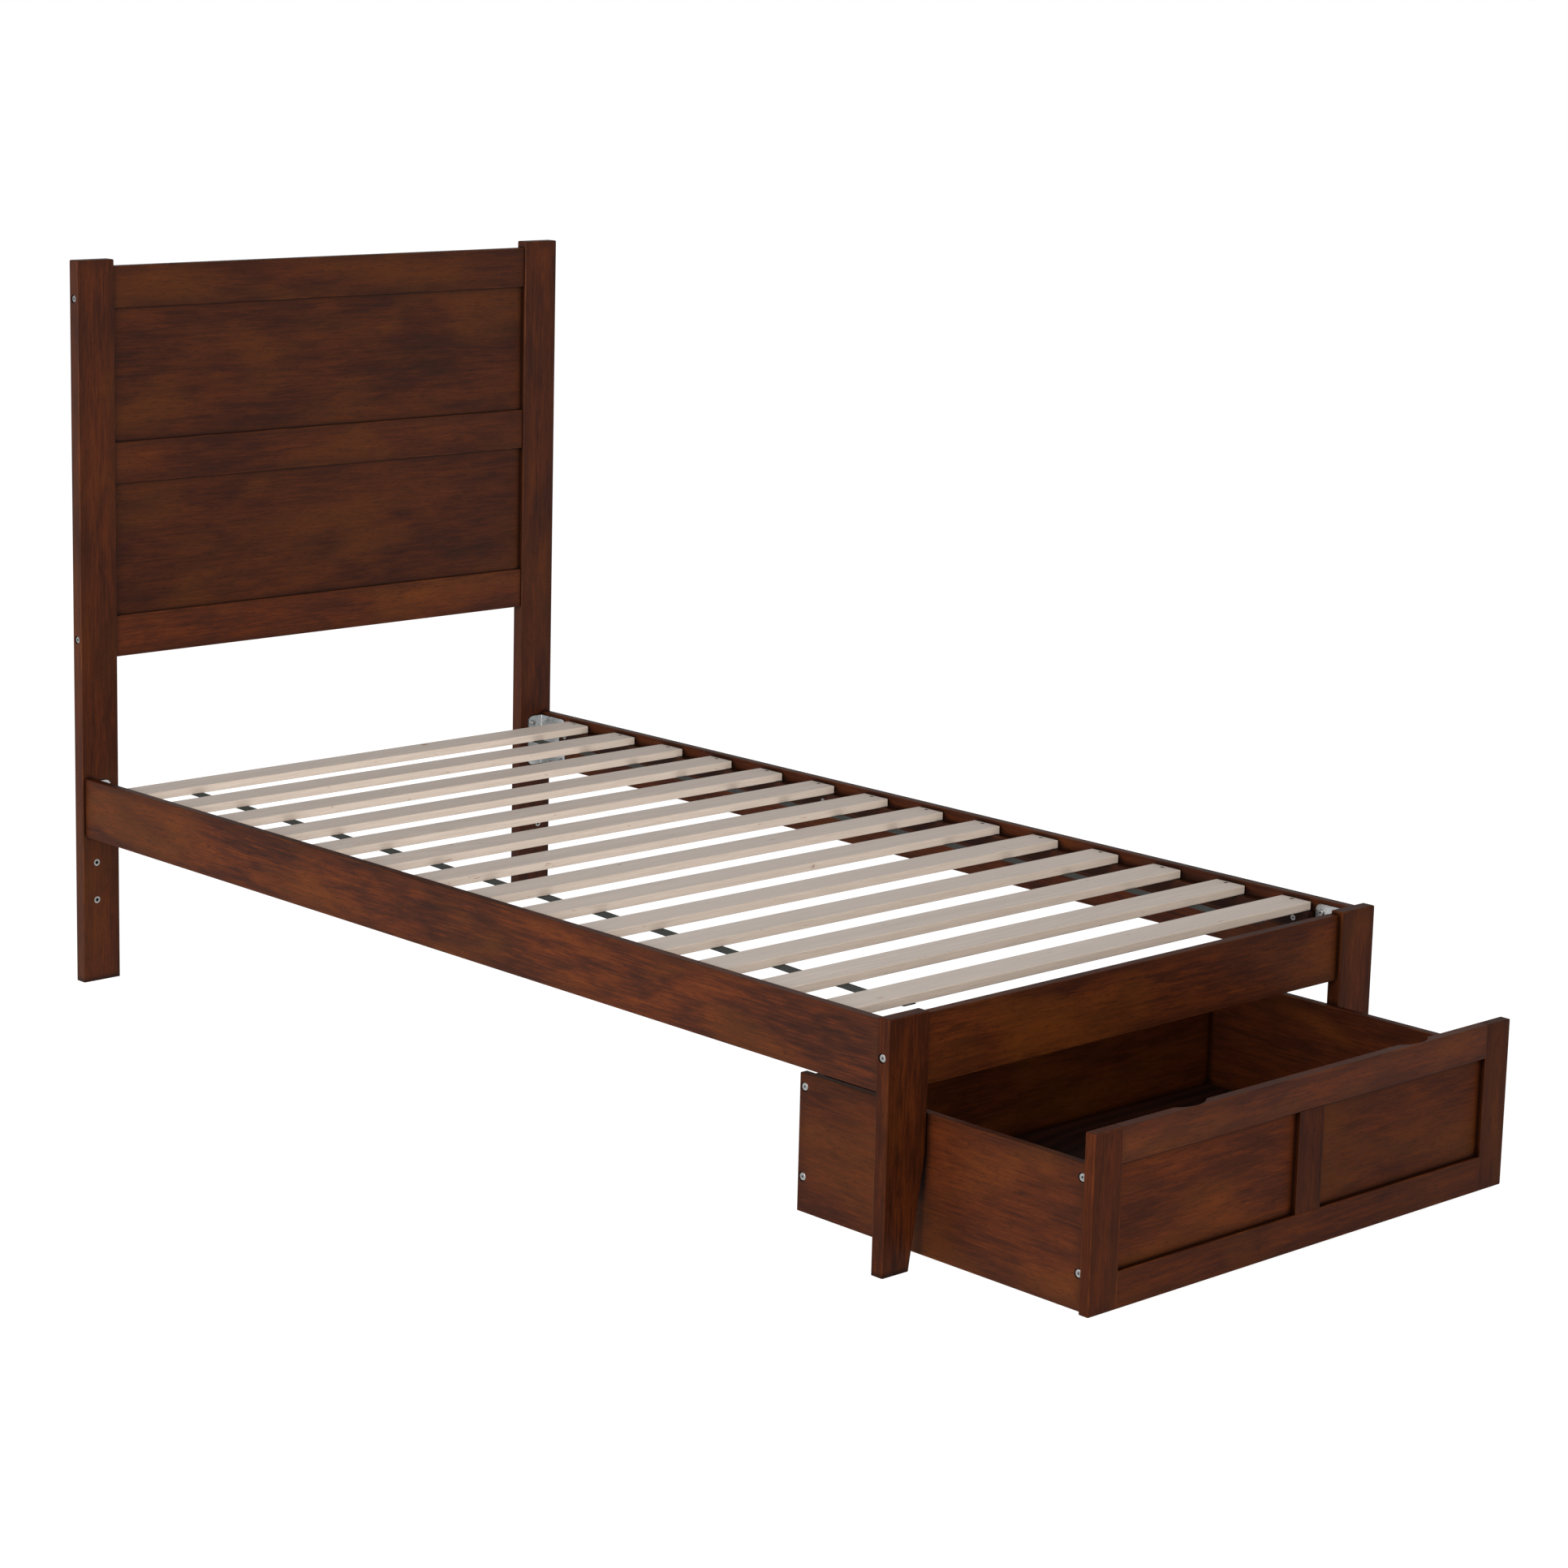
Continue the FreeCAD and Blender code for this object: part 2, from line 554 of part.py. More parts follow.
def slat(number):
    solid = board((-slat_end_x, slat_end_x), slat_span(number), (slat_low_z, slat_top_z),
                  X_AXIS, SLAT_EDGE_RADIUS)
    return solid.cut(both_sides([slat_screw_hole(number)] + staple_holes(number)))


def strap():
    """A webbing strap under all the slats, cut off flush with the first and the last."""
    x = (-STRAP_FROM_MIDDLE - STRAP_WIDTH / 2, -STRAP_FROM_MIDDLE + STRAP_WIDTH / 2)
    y = (slat_span(SLAT_COUNT)[0], slat_span(1)[1])
    band = board(x, y, (slat_low_z - STRAP_THICKNESS, slat_low_z), Y_AXIS, STRAP_THICKNESS * 0.4)
    holes = []
    for number in range(1, SLAT_COUNT + 1):
        holes += staple_holes(number)
    return band.cut(holes)


def staple(number):
    """A staple of square wire: the crown under the strap, two legs up into the slat."""
    wire = STAPLE_WIRE / 2
    first, last = staple_leg_places(number)[::-1]
    across = (first.y - wire, first.y + wire)
    solid = block((first.x - wire, last.x + wire), across, (first.z, first.z + STAPLE_WIRE))
    for foot in (first, last):
        leg = block((foot.x - wire, foot.x + wire), across, (foot.z, foot.z + STAPLE_WIRE + STAPLE_LEG))
        solid = solid.fuse(leg)
    return solid.removeSplitter()


# ---- corner brackets ----

def corner_bracket(post_y, away):
    """An angle plate in the corner of a post and a side rail; away is the way along Y from the post."""
    corner_x = -rail_inner_x
    post_leg = block((corner_x, corner_x + BRACKET_POST_LEG),
                     sorted((post_y, post_y + away * BRACKET_THICKNESS)), (bracket_low_z, bracket_top_z))
    rail_leg = block((corner_x, corner_x + BRACKET_THICKNESS),
                     sorted((post_y, post_y + away * BRACKET_RAIL_LEG)), (bracket_low_z, bracket_top_z))
    plate = post_leg.fuse(rail_leg).removeSplitter()

    def at_free_end(edge):
        centre = edge.CenterOfMass
        at_height = abs(abs(centre.z - (bracket_low_z + bracket_top_z) / 2) - BRACKET_HEIGHT / 2) < 0.01
        post_end = run_along(edge, Y_AXIS) and centre.x > corner_x + BRACKET_POST_LEG - 0.01
        rail_end = run_along(edge, X_AXIS) and abs(centre.y - post_y) > BRACKET_RAIL_LEG - 0.01
        return at_height and (post_end or rail_end)

    def at_bend(edge):
        centre = edge.CenterOfMass
        inside = abs(centre.x - corner_x - BRACKET_THICKNESS) < 0.01
        inside = inside and abs(abs(centre.y - post_y) - BRACKET_THICKNESS) < 0.01
        return run_along(edge, Z_AXIS) and inside

    plate = eased(plate, BRACKET_CORNER_RADIUS, at_free_end)
    plate = eased(plate, BRACKET_BEND_RADIUS - BRACKET_THICKNESS / 2, at_bend)
    holes = [rod(FRAME_BOLT_RADIUS + BOLT_CLEARANCE / 2, seat - way, way, BRACKET_THICKNESS + 2)
             for seat, way in bracket_bolt_seats()]
    return plate.cut(holes)


# ---- fastener groups ----

def frame_bolts():
    bolts = []
    for joint_x, y, z in frame_bolt_places():
        length = joint_x - frame_bolt_head_x() + FRAME_BOLT_GRIP
        bolt = socket_bolt(FRAME_BOLT_HEAD_RADIUS, FRAME_BOLT_HEAD_HEIGHT, FRAME_BOLT_RADIUS, length)
        bolts.append(placed(bolt, FreeCAD.Vector(frame_bolt_head_x(), y, z), X_AXIS))
    return both_sides(bolts)


def barrel_nut(centre, board_y, bolt_y):
    """A short steel cylinder along Y inside a board, drilled across for its bolt."""
    front_y, back_y = board_y[0] + BARREL_NUT_END_GAP, board_y[1] - BARREL_NUT_END_GAP
    body = rod(BARREL_NUT_RADIUS, FreeCAD.Vector(centre.x, front_y, centre.z), Y_AXIS, back_y - front_y)
    start = FreeCAD.Vector(centre.x - BARREL_NUT_RADIUS, bolt_y, centre.z)
    return body.cut(rod(FRAME_BOLT_RADIUS + SNUG_GAP, start, X_AXIS, 2 * BARREL_NUT_RADIUS))


def frame_barrel_nuts():
    nuts = []
    for joint_x, y, z in frame_bolt_places():
        rail_y = foot_rail_y if y == foot_bolt_y else headboard_y
        nuts.append(barrel_nut(FreeCAD.Vector(joint_x + BARREL_NUT_FROM_JOINT, y, z), rail_y, y))
    return both_sides(nuts)


def bracket_bolts():
    bolt = socket_bolt(BRACKET_BOLT_HEAD_RADIUS, BRACKET_BOLT_HEAD_HEIGHT,
                       INSERT_BORE_RADIUS - SNUG_GAP, BRACKET_BOLT_LENGTH)
    return both_sides([placed(bolt, seat, way) for seat, way in bracket_bolt_seats()])


def threaded_inserts():
    return both_sides([placed(insert_solid(), seat, way) for seat, way in insert_seats()])


def cleat_screws():
    screw = countersunk_screw(CLEAT_SCREW_HEAD_RADIUS, CLEAT_SCREW_RADIUS, CLEAT_SCREW_LENGTH)
    seat_x = -rail_inner_x + CLEAT_WIDTH
    return both_sides([placed(screw, FreeCAD.Vector(seat_x, y, cleat_mid_z()), X_AXIS * -1)
                       for y in cleat_screw_places()])


def slat_screws():
    screw = countersunk_screw(SLAT_SCREW_HEAD_RADIUS, SLAT_SCREW_RADIUS, SLAT_SCREW_LENGTH)
    return both_sides([placed(screw, slat_screw_seat(number), Z_AXIS * -1)
                       for number in range(1, SLAT_COUNT + 1)])


# ---- drawer box ----

def box_bolt_seats():
    """The seat under each box bolt's head on the left side, with the way in."""
    return [(FreeCAD.Vector(-box_outer_x + DRAWER_BOLT_RECESS, y, z), X_AXIS)
            for y in box_bolt_y for z in box_bolt_z]


def box_bolt_length():
    return DRAWER_SIDE_THICKNESS - DRAWER_BOLT_RECESS + DRAWER_BOLT_GRIP


def box_bolt_cuts():
    cuts = []
    for seat, way in box_bolt_seats():
        start = seat - way * DRAWER_BOLT_RECESS
        shank = rod(FRAME_BOLT_RADIUS + BOLT_CLEARANCE, start, way,
                    box_bolt_length() + DRAWER_BOLT_RECESS + 1)
        cuts.append(shank.fuse(rod(FRAME_BOLT_RECESS_RADIUS, start, way, DRAWER_BOLT_RECESS)))
    return both_sides(cuts)


def box_barrel_nut_places():
    x = -box_inner_x + BARREL_NUT_FROM_JOINT
    return [FreeCAD.Vector(x, y, z) for y in box_bolt_y for z in box_bolt_z]


def box_barrel_nut_cuts():
    """Cross holes, open on the faces that the drawer face and the bed hide."""
    half = DRAWER_END_THICKNESS / 2 - BARREL_NUT_END_GAP
    cuts = []
    for place in box_barrel_nut_places():
        out = -1 if place.y < (face_back_y + box_back_y) / 2 else 1
        cuts.append(rod(BARREL_NUT_RADIUS + SNUG_GAP, place - Y_AXIS * (out * half), Y_AXIS * out,
                        half + DRAWER_END_THICKNESS))
    return both_sides(cuts)


def bottom_groove():
    """The slot in the four box walls that holds the bottom panel."""
    reach = DRAWER_BOTTOM_GROOVE
    return block((-box_inner_x - reach, box_inner_x + reach),
                 (face_back_y + DRAWER_END_THICKNESS - reach, box_back_y - DRAWER_END_THICKNESS + reach),
                 (drawer_bottom_z[0] - PANEL_FACE_GAP, drawer_bottom_z[1] + PANEL_FACE_GAP))


def drawer_side():
    side = board((-box_outer_x, -box_inner_x), (face_back_y, box_back_y), (box_low_z, box_top_z), Y_AXIS)
    return side.cut(bottom_groove()).cut(box_bolt_cuts())


def box_end(y, top_z):
    """The inner front or the back, between the sides."""
    end = board((-box_inner_x, box_inner_x), y, (box_low_z, top_z), X_AXIS)
    return end.cut(bottom_groove()).cut(box_bolt_cuts()).cut(box_barrel_nut_cuts())


def drawer_bottom():
    reach = DRAWER_BOTTOM_GROOVE - DRAWER_BOTTOM_GAP
    panel = block((-box_inner_x - reach, box_inner_x + reach),
                  (face_back_y + DRAWER_END_THICKNESS - reach, box_back_y - DRAWER_END_THICKNESS + reach),
                  drawer_bottom_z)
    return panel.cut(caster_screw_holes())


def drawer_bolts():
    bolt = socket_bolt(FRAME_BOLT_HEAD_RADIUS, FRAME_BOLT_HEAD_HEIGHT, FRAME_BOLT_RADIUS, box_bolt_length())
    return both_sides([placed(bolt, seat, way) for seat, way in box_bolt_seats()])


def drawer_barrel_nuts():
    half = DRAWER_END_THICKNESS / 2
    return both_sides([barrel_nut(place, (place.y - half, place.y + half), place.y)
                       for place in box_barrel_nut_places()])


# ---- drawer face ----

def face_groove_y():
    return face_panel_y[0] - PANEL_FACE_GAP, face_panel_y[1] + PANEL_FACE_GAP


def face_stile():
    """The left stile, grooved on its inner edge for the panel and the rails' stub tenons."""
    inner = -face_half + FACE_STILE_WIDTH
    stile = block((-face_half, inner), (face_front_y, face_back_y), (face_low_z, face_top_z))
    stile = eased(stile, FACE_EASING, lambda edge: edge.CenterOfMass.x < -face_half + 0.01
                  or edge.CenterOfMass.z > face_top_z - 0.01 or edge.CenterOfMass.z < face_low_z + 0.01)
    groove_z = (face_low_z + GROOVE_STOP, face_top_z - GROOVE_STOP)
    stile = stile.cut(block((inner - FACE_GROOVE_DEPTH, inner + 1), face_groove_y(), groove_z))
    return stile.cut(face_screw_holes())


def face_rail(opening_z, edge_z):
    """The face's top or bottom rail: grooved along the opening, a stub tenon at each end."""
    way = 1 if edge_z > opening_z else -1
    shoulder = face_half - FACE_STILE_WIDTH
    rail = board((-shoulder, shoulder), (face_front_y, face_back_y), sorted((opening_z, edge_z)),
                 X_AXIS, FACE_EASING)
    groove_top = opening_z + way * FACE_GROOVE_DEPTH
    tenon_end = shoulder + FACE_GROOVE_DEPTH - PANEL_EDGE_GAP
    tenon_z = sorted((groove_top, edge_z - way * (GROOVE_STOP + PANEL_EDGE_GAP)))
    rail = rail.fuse(block((-tenon_end, tenon_end), face_panel_y, tenon_z)).removeSplitter()
    return rail.cut(block((-shoulder, shoulder), face_groove_y(), sorted((opening_z - way, groove_top))))


def finger_scoop(x):
    """The round-bottomed relief cut into the back of the top rail's upper edge."""
    half = SCOOP_WIDTH / 2
    radius = (half ** 2 + SCOOP_DEPTH ** 2) / (2 * SCOOP_DEPTH)
    centre = FreeCAD.Vector(x, face_back_y - SCOOP_DEPTH + radius, face_top_z - SCOOP_DROP)
    return rod(radius, centre, Z_AXIS, SCOOP_DROP + 1)


def face_top_rail():
    rail = face_rail(face_opening_z[1], face_top_z)
    return rail.cut([finger_scoop(-SCOOP_FROM_MIDDLE), finger_scoop(SCOOP_FROM_MIDDLE)])


def face_bottom_rail():
    rail = face_rail(face_opening_z[0], face_low_z)
    return rail.cut(face_screw_holes())


def face_mullion():
    """The middle upright, with a stub tenon in each rail's groove and a groove down each edge."""
    half = FACE_MULLION_WIDTH / 2
    tenon = FACE_GROOVE_DEPTH - PANEL_EDGE_GAP
    body = block((-half, half), (face_front_y, face_back_y), face_opening_z)
    body = body.fuse(block((-half, half), face_panel_y,
                           (face_opening_z[0] - tenon, face_opening_z[1] + tenon))).removeSplitter()
    past = (face_opening_z[0] - tenon - 1, face_opening_z[1] + tenon + 1)
    for side in (-1, 1):
        edge_x = sorted((side * (half - FACE_GROOVE_DEPTH), side * (half + 1)))
        body = body.cut(block(edge_x, face_groove_y(), past))
    return body.cut(face_screw_holes())


def face_panel():
    """The left recessed panel."""
    reach = FACE_GROOVE_DEPTH - PANEL_EDGE_GAP
    return block((-face_half + FACE_STILE_WIDTH - reach, -FACE_MULLION_WIDTH / 2 + reach), face_panel_y,
                 (face_opening_z[0] - reach, face_opening_z[1] + reach))


def face_screw_seats():
    """Screws through the inner front into the face's uprights and bottom rail, from inside the box."""
    stile_x = face_half - FACE_STILE_WIDTH + FACE_GROOVE_DEPTH + FACE_SCREW_EDGE
    above_bottom_z = (drawer_bottom_z[1] + face_opening_z[0] - FACE_GROOVE_DEPTH) / 2
    mid_z = (face_opening_z[0] + face_opening_z[1]) / 2
    places = [(x, mid_z + side * FACE_SCREW_PITCH / 2) for x in (-stile_x, 0, stile_x) for side in (-1, 1)]
    places += [(side * stile_x / 2, above_bottom_z) for side in (-1, 1)]
    return [FreeCAD.Vector(x, face_back_y + DRAWER_END_THICKNESS, z) for x, z in places]


def face_screw_holes():
    hole = countersunk_hole(FACE_SCREW_HEAD_RADIUS, FACE_SCREW_RADIUS, FACE_SCREW_LENGTH)
    return [placed(hole, seat, Y_AXIS * -1) for seat in face_screw_seats()]


def face_screws():
    screw = countersunk_screw(FACE_SCREW_HEAD_RADIUS, FACE_SCREW_RADIUS, FACE_SCREW_LENGTH)
    return [placed(screw, seat, Y_AXIS * -1) for seat in face_screw_seats()]


# ---- casters, built round the wheel's centre ----

def wheel():
    """A wheel on the X axis: rounded tread, sunk web on each face, hub and bore."""
    half = WHEEL_WIDTH / 2
    tread = eased(rod(WHEEL_RADIUS, X_AXIS * -half, X_AXIS, WHEEL_WIDTH), WHEEL_TREAD_RADIUS,
                  lambda edge: abs(abs(edge.CenterOfMass.x) - half) < 0.01)
    for side in (-1, 1):
        face = X_AXIS * (side * (half - WHEEL_WEB_DEPTH))
        ring = rod(WHEEL_RADIUS - WHEEL_RIM, face, X_AXIS * side, WHEEL_WEB_DEPTH + 1)
        tread = tread.cut(ring.cut(rod(WHEEL_HUB_RADIUS, face, X_AXIS * side, WHEEL_WEB_DEPTH + 1)))
    hub = rod(WHEEL_HUB_RADIUS, X_AXIS * -(half + WHEEL_HUB_PROUD), X_AXIS, 2 * (half + WHEEL_HUB_PROUD))
    bore = rod(AXLE_RADIUS + AXLE_RUNNING_GAP, X_AXIS * -WHEEL_WIDTH, X_AXIS, 2 * WHEEL_WIDTH)
    return tread.fuse(hub).removeSplitter().cut(bore)


def caster_housing():
    """A folded channel over the wheel: a top plate and two ears that carry the axle."""
    plate_z = (caster_plate_top_z - WHEEL_RADIUS - CASTER_PLATE_THICKNESS, caster_plate_top_z - WHEEL_RADIUS)
    half = CASTER_PLATE_LENGTH / 2
    solid = block((-caster_ear_outer, caster_ear_outer), (-half, half), plate_z)
    for side in (-1, 1):
        x = sorted((side * caster_ear_inner, side * caster_ear_outer))
        ear = block(x, (-CASTER_EAR_RADIUS, CASTER_EAR_RADIUS), (0, plate_z[1]))
        ear = ear.fuse(rod(CASTER_EAR_RADIUS, X_AXIS * x[0], X_AXIS, CASTER_EAR_THICKNESS))
        solid = solid.fuse(ear)
    solid = solid.removeSplitter()
    solid = solid.cut(rod(AXLE_RADIUS + SNUG_GAP, X_AXIS * -caster_ear_outer, X_AXIS, 2 * caster_ear_outer))
    holes = [rod(CASTER_SCREW_RADIUS + BOLT_CLEARANCE / 2, FreeCAD.Vector(0, y, plate_z[0] - 1), Z_AXIS,
                 CASTER_PLATE_THICKNESS + 2) for y in caster_screw_offsets()]
    return solid.cut(holes)


def caster_axle():
    head = rod(AXLE_HEAD_RADIUS, X_AXIS * -(caster_ear_outer + AXLE_HEAD_HEIGHT), X_AXIS, AXLE_HEAD_HEIGHT)
    end = rod(AXLE_HEAD_RADIUS, X_AXIS * caster_ear_outer, X_AXIS, AXLE_HEAD_HEIGHT)
    pin = rod(AXLE_RADIUS, X_AXIS * -caster_ear_outer, X_AXIS, 2 * caster_ear_outer)
    return head.fuse(pin).fuse(end).removeSplitter()


def caster_screw_offsets():
    reach = CASTER_PLATE_LENGTH / 2 - CASTER_SCREW_FROM_END
    return -reach, reach


def caster_centres():
    return [FreeCAD.Vector(-wheel_x, y, WHEEL_RADIUS) for y in wheel_y.values()]


def caster_screw_seats():
    """The heads' undersides, on the lower face of each caster's plate."""
    low_z = caster_plate_top_z - CASTER_PLATE_THICKNESS
    return [FreeCAD.Vector(centre.x, centre.y + offset, low_z)
            for centre in caster_centres() for offset in caster_screw_offsets()]


def caster_screw_holes():
    return both_sides([rod(CASTER_SCREW_RADIUS + SNUG_GAP, seat, Z_AXIS, CASTER_SCREW_LENGTH + 0.5)
                       for seat in caster_screw_seats()])


def caster_screw():
    head_height = CASTER_SCREW_HEAD_RADIUS / 2
    head = Part.makeCylinder(CASTER_SCREW_HEAD_RADIUS, head_height, Z_AXIS * -head_height)
    head = eased(head, head_height * 0.6, lambda edge: edge.CenterOfMass.z < -head_height * 0.9)
    return head.fuse(Part.makeCylinder(CASTER_SCREW_RADIUS, CASTER_SCREW_LENGTH)).removeSplitter()


def at_casters(solid):
    moved = []
    for centre in caster_centres():
        copy = solid.copy()
        copy.translate(centre)
        moved.append(copy)
    return both_sides(moved)


# ---- the nodes ----

def save_frame():
    save_pair("head_post", head_post())
    save_pair("foot_leg", foot_leg())
    save_pair("side_rail", side_rail())
    save("foot_rail", foot_rail())
    headboard()
    save_pair("slat_cleat", slat_cleat())
    for number in range(1, SLAT_COUNT + 1):
        save("slat_%02d" % number, slat(number))
    save_pair("strap", strap())
    save("strap_staples", both_sides([staple(number) for number in range(1, SLAT_COUNT + 1)]))
    brackets = [corner_bracket(LEG_THICKNESS, 1), corner_bracket(head_front_y, -1)]
    save("corner_brackets", both_sides(brackets))
    save("frame_bolts", frame_bolts())
    save("frame_barrel_nuts", frame_barrel_nuts())
    save("bracket_bolts", bracket_bolts())
    save("threaded_inserts", threaded_inserts())
    save("cleat_screws", cleat_screws())
    save("slat_screws", slat_screws())


def save_drawer():
    save_pair("drawer_side", drawer_side())
    save("drawer_inner_front", box_end((face_back_y, face_back_y + DRAWER_END_THICKNESS), box_top_z)
         .cut(face_screw_holes()))
    save("drawer_back", box_end((box_back_y - DRAWER_END_THICKNESS, box_back_y),
                                box_top_z - DRAWER_BACK_DROP))
    save("drawer_bottom", drawer_bottom())
    save("drawer_bolts", drawer_bolts())
    save("drawer_barrel_nuts", drawer_barrel_nuts())
    save_pair("drawer_face_stile", face_stile())
    save("drawer_face_mullion", face_mullion())
    save("drawer_face_top_rail", face_top_rail())
    save("drawer_face_bottom_rail", face_bottom_rail())
    save_pair("drawer_face_panel", face_panel())
    save("drawer_face_screws", face_screws())
    save("caster_housings", at_casters(caster_housing()))
    save("caster_axles", at_casters(caster_axle()))
    save("caster_screws", both_sides([placed(caster_screw(), seat, Z_AXIS) for seat in caster_screw_seats()]))
    for name, y in wheel_y.items():
        near = wheel()
        near.translate(FreeCAD.Vector(-wheel_x, y, WHEEL_RADIUS))
        save_pair("wheel_" + name, near)


save_frame()
save_drawer()
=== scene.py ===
import math

import bmesh
import bpy
from mathutils import Matrix, Vector


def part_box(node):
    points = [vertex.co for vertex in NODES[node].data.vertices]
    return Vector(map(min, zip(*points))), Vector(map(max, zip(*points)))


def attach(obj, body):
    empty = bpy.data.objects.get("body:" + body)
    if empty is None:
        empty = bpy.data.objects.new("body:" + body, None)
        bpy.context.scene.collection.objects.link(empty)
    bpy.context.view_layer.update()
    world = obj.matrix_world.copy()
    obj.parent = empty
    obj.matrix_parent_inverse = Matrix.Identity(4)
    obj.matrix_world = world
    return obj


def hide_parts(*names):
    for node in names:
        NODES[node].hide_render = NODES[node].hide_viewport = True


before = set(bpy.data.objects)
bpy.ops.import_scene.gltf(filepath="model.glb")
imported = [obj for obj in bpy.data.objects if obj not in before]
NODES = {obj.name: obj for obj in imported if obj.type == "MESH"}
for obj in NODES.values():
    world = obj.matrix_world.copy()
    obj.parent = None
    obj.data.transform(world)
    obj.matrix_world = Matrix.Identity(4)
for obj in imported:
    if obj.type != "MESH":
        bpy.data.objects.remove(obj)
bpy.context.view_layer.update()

# A bed in dark stained hardwood with pale slats and a roll-out drawer at its foot. Metres, head towards +Y.

# ---- camera, lights and floor ----
CAMERA_PLACE = Vector((-4.118, -4.368, 1.774))
CAMERA_TURN = 42.56          # degrees from +Y towards +X
CAMERA_DOWN = 10.97          # degrees below level
CAMERA_ROLL = 1.20
CAMERA_LENS = 87.7           # mm
CAMERA_SENSOR = 36.0         # mm
CAMERA_SHIFT = (0.05, -0.05)
CAMERA_REACH = 200.0
SKY_LOW = 1.0                # the dome's brightness at the horizon
SKY_HIGH = 0.30              # and overhead
SKY_RISE = 0.10              # the dome's height, of 1, from which it dims
FLOOR_COLOUR = (0.2, 0.2, 0.2)
FLOOR_GLOW = 0.95
FLOOR_SIZE = 60.0
KEY_LIGHT = {"place": (-5.8, -0.9, 2.0), "aim": (0.0, 0.0, 0.5), "size": 3.4, "power": 430.0,
             "colour": (1.0, 0.985, 0.965)}
FRONT_LIGHT = {"place": (-2.2, -6.4, 2.6), "aim": (0.0, 0.0, 0.4), "size": 3.0, "power": 210.0,
               "colour": (1.0, 0.97, 0.93)}

# ---- dark wood: the stain's colours, the painted corner shade and painted bounce light, and how strongly each feature shows ----
STAIN_DEEP = (0.0138, 0.0035, 0.0015)
STAIN_DARK = (0.0286, 0.0064, 0.0020)
STAIN_MIDDLE = (0.0460, 0.0097, 0.0022)
STAIN_LIGHT = (0.0718, 0.0166, 0.0028)
STAIN_AMBER = (0.0736, 0.0202, 0.0024)
# painted shade laid into inside corners and joints; also the plywood's darkest colour
DARKEST_STAIN_AND_PAINTED_SHADE = (0.0050, 0.0012, 0.0004)
# painted amber bounce light, in a band beside the painted corner shade
PAINTED_BOUNCE_LIGHT = (0.0800, 0.0190, 0.0010)
EDGE_RUB = (0.1247, 0.0344, 0.0077)
EDGE_WIDTH = 0.0028
RIM_WIDTH = 0.024            # the stain is deeper this far in from a board's edges
CORNER_REACH = 0.015         # how far from an inside corner the painted shade reaches
STAIN_STOPS = [(0.33, STAIN_DEEP), (0.44, STAIN_DARK), (0.51, STAIN_MIDDLE), (0.66, STAIN_LIGHT)]
CLOUD_WEIGHT = 0.30
MOTTLE_WEIGHT = 0.28
STREAK_WEIGHT = 0.38
FIGURE_WEIGHT = 0.006
FIGURE_LINES = 10
WARM_STRENGTH = 0.45
WISP_STRENGTH = 0.46
FLECK_STRENGTH = 0.42
PORE_STRENGTH = 0.35
RUB_STRENGTH = 0.50
RIM_STRENGTH = 0.50
# how strongly the painted bounce light shows
PAINTED_BOUNCE_STRENGTH = 0.45
# how strongly the painted corner shade shows
PAINTED_SHADE_STRENGTH = 0.95
LACQUER_ROUGHNESS = (0.48, 0.62)
LACQUER_SPECULAR = 0.06
LACQUER_COAT = 0.015
COAT_ROUGHNESS = 0.25

# ---- pale wood and plywood ----
PINE_LIGHT = (0.456, 0.395, 0.352)
PINE_MIDDLE = (0.408, 0.349, 0.306)
PINE_LATE = (0.340, 0.250, 0.190)
# painted light: the slats' faces towards -Y and +Y are drawn lighter and warmer than their tops
PINE_PAINTED_FRONT_LIGHT = (0.500, 0.410, 0.335)
PINE_KNOT = (0.190, 0.070, 0.026)
PINE_RING_WIDTH = 0.0050
PINE_EDGE_WIDTH = 0.0020
KNOT_SIZE = 0.085            # of a cell
KNOT_CELLS = 10.0            # to the metre
VENEER_RING_WIDTH = 0.030
PLY_STOPS = [(0.30, DARKEST_STAIN_AND_PAINTED_SHADE), (0.55, STAIN_DEEP), (0.80, STAIN_DARK)]
PLY_PITCH = 0.0027
PLY_EDGE_WIDTH = 0.0005

# ---- metal, webbing and plastic ----
ZINC_PLATE = {"tint": (0.53, 0.545, 0.55), "rough": 0.34}
ZINC_HEADS = {"tint": (0.33, 0.33, 0.325), "rough": 0.34}
ZINC_SCREWS = {"tint": (0.26, 0.26, 0.255), "rough": 0.40}
ZINC_SHADE = 0.72            # the mottle's darker side, of the tint
OXIDE_BLACK = (0.018, 0.017, 0.016)
OXIDE_RUBBED = (0.085, 0.080, 0.075)
WEB_DARK = (0.008, 0.010, 0.009)
WEB_LIGHT = (0.026, 0.031, 0.028)
WEB_FUZZ = (0.034, 0.038, 0.035)
WARP_PITCH = 0.0016
WEFT_PITCH = 0.0022
NYLON_DULL = (0.62, 0.60, 0.59)
NYLON_BRIGHT = (0.68, 0.66, 0.65)
NYLON_SCUFFED = (0.46, 0.44, 0.41)


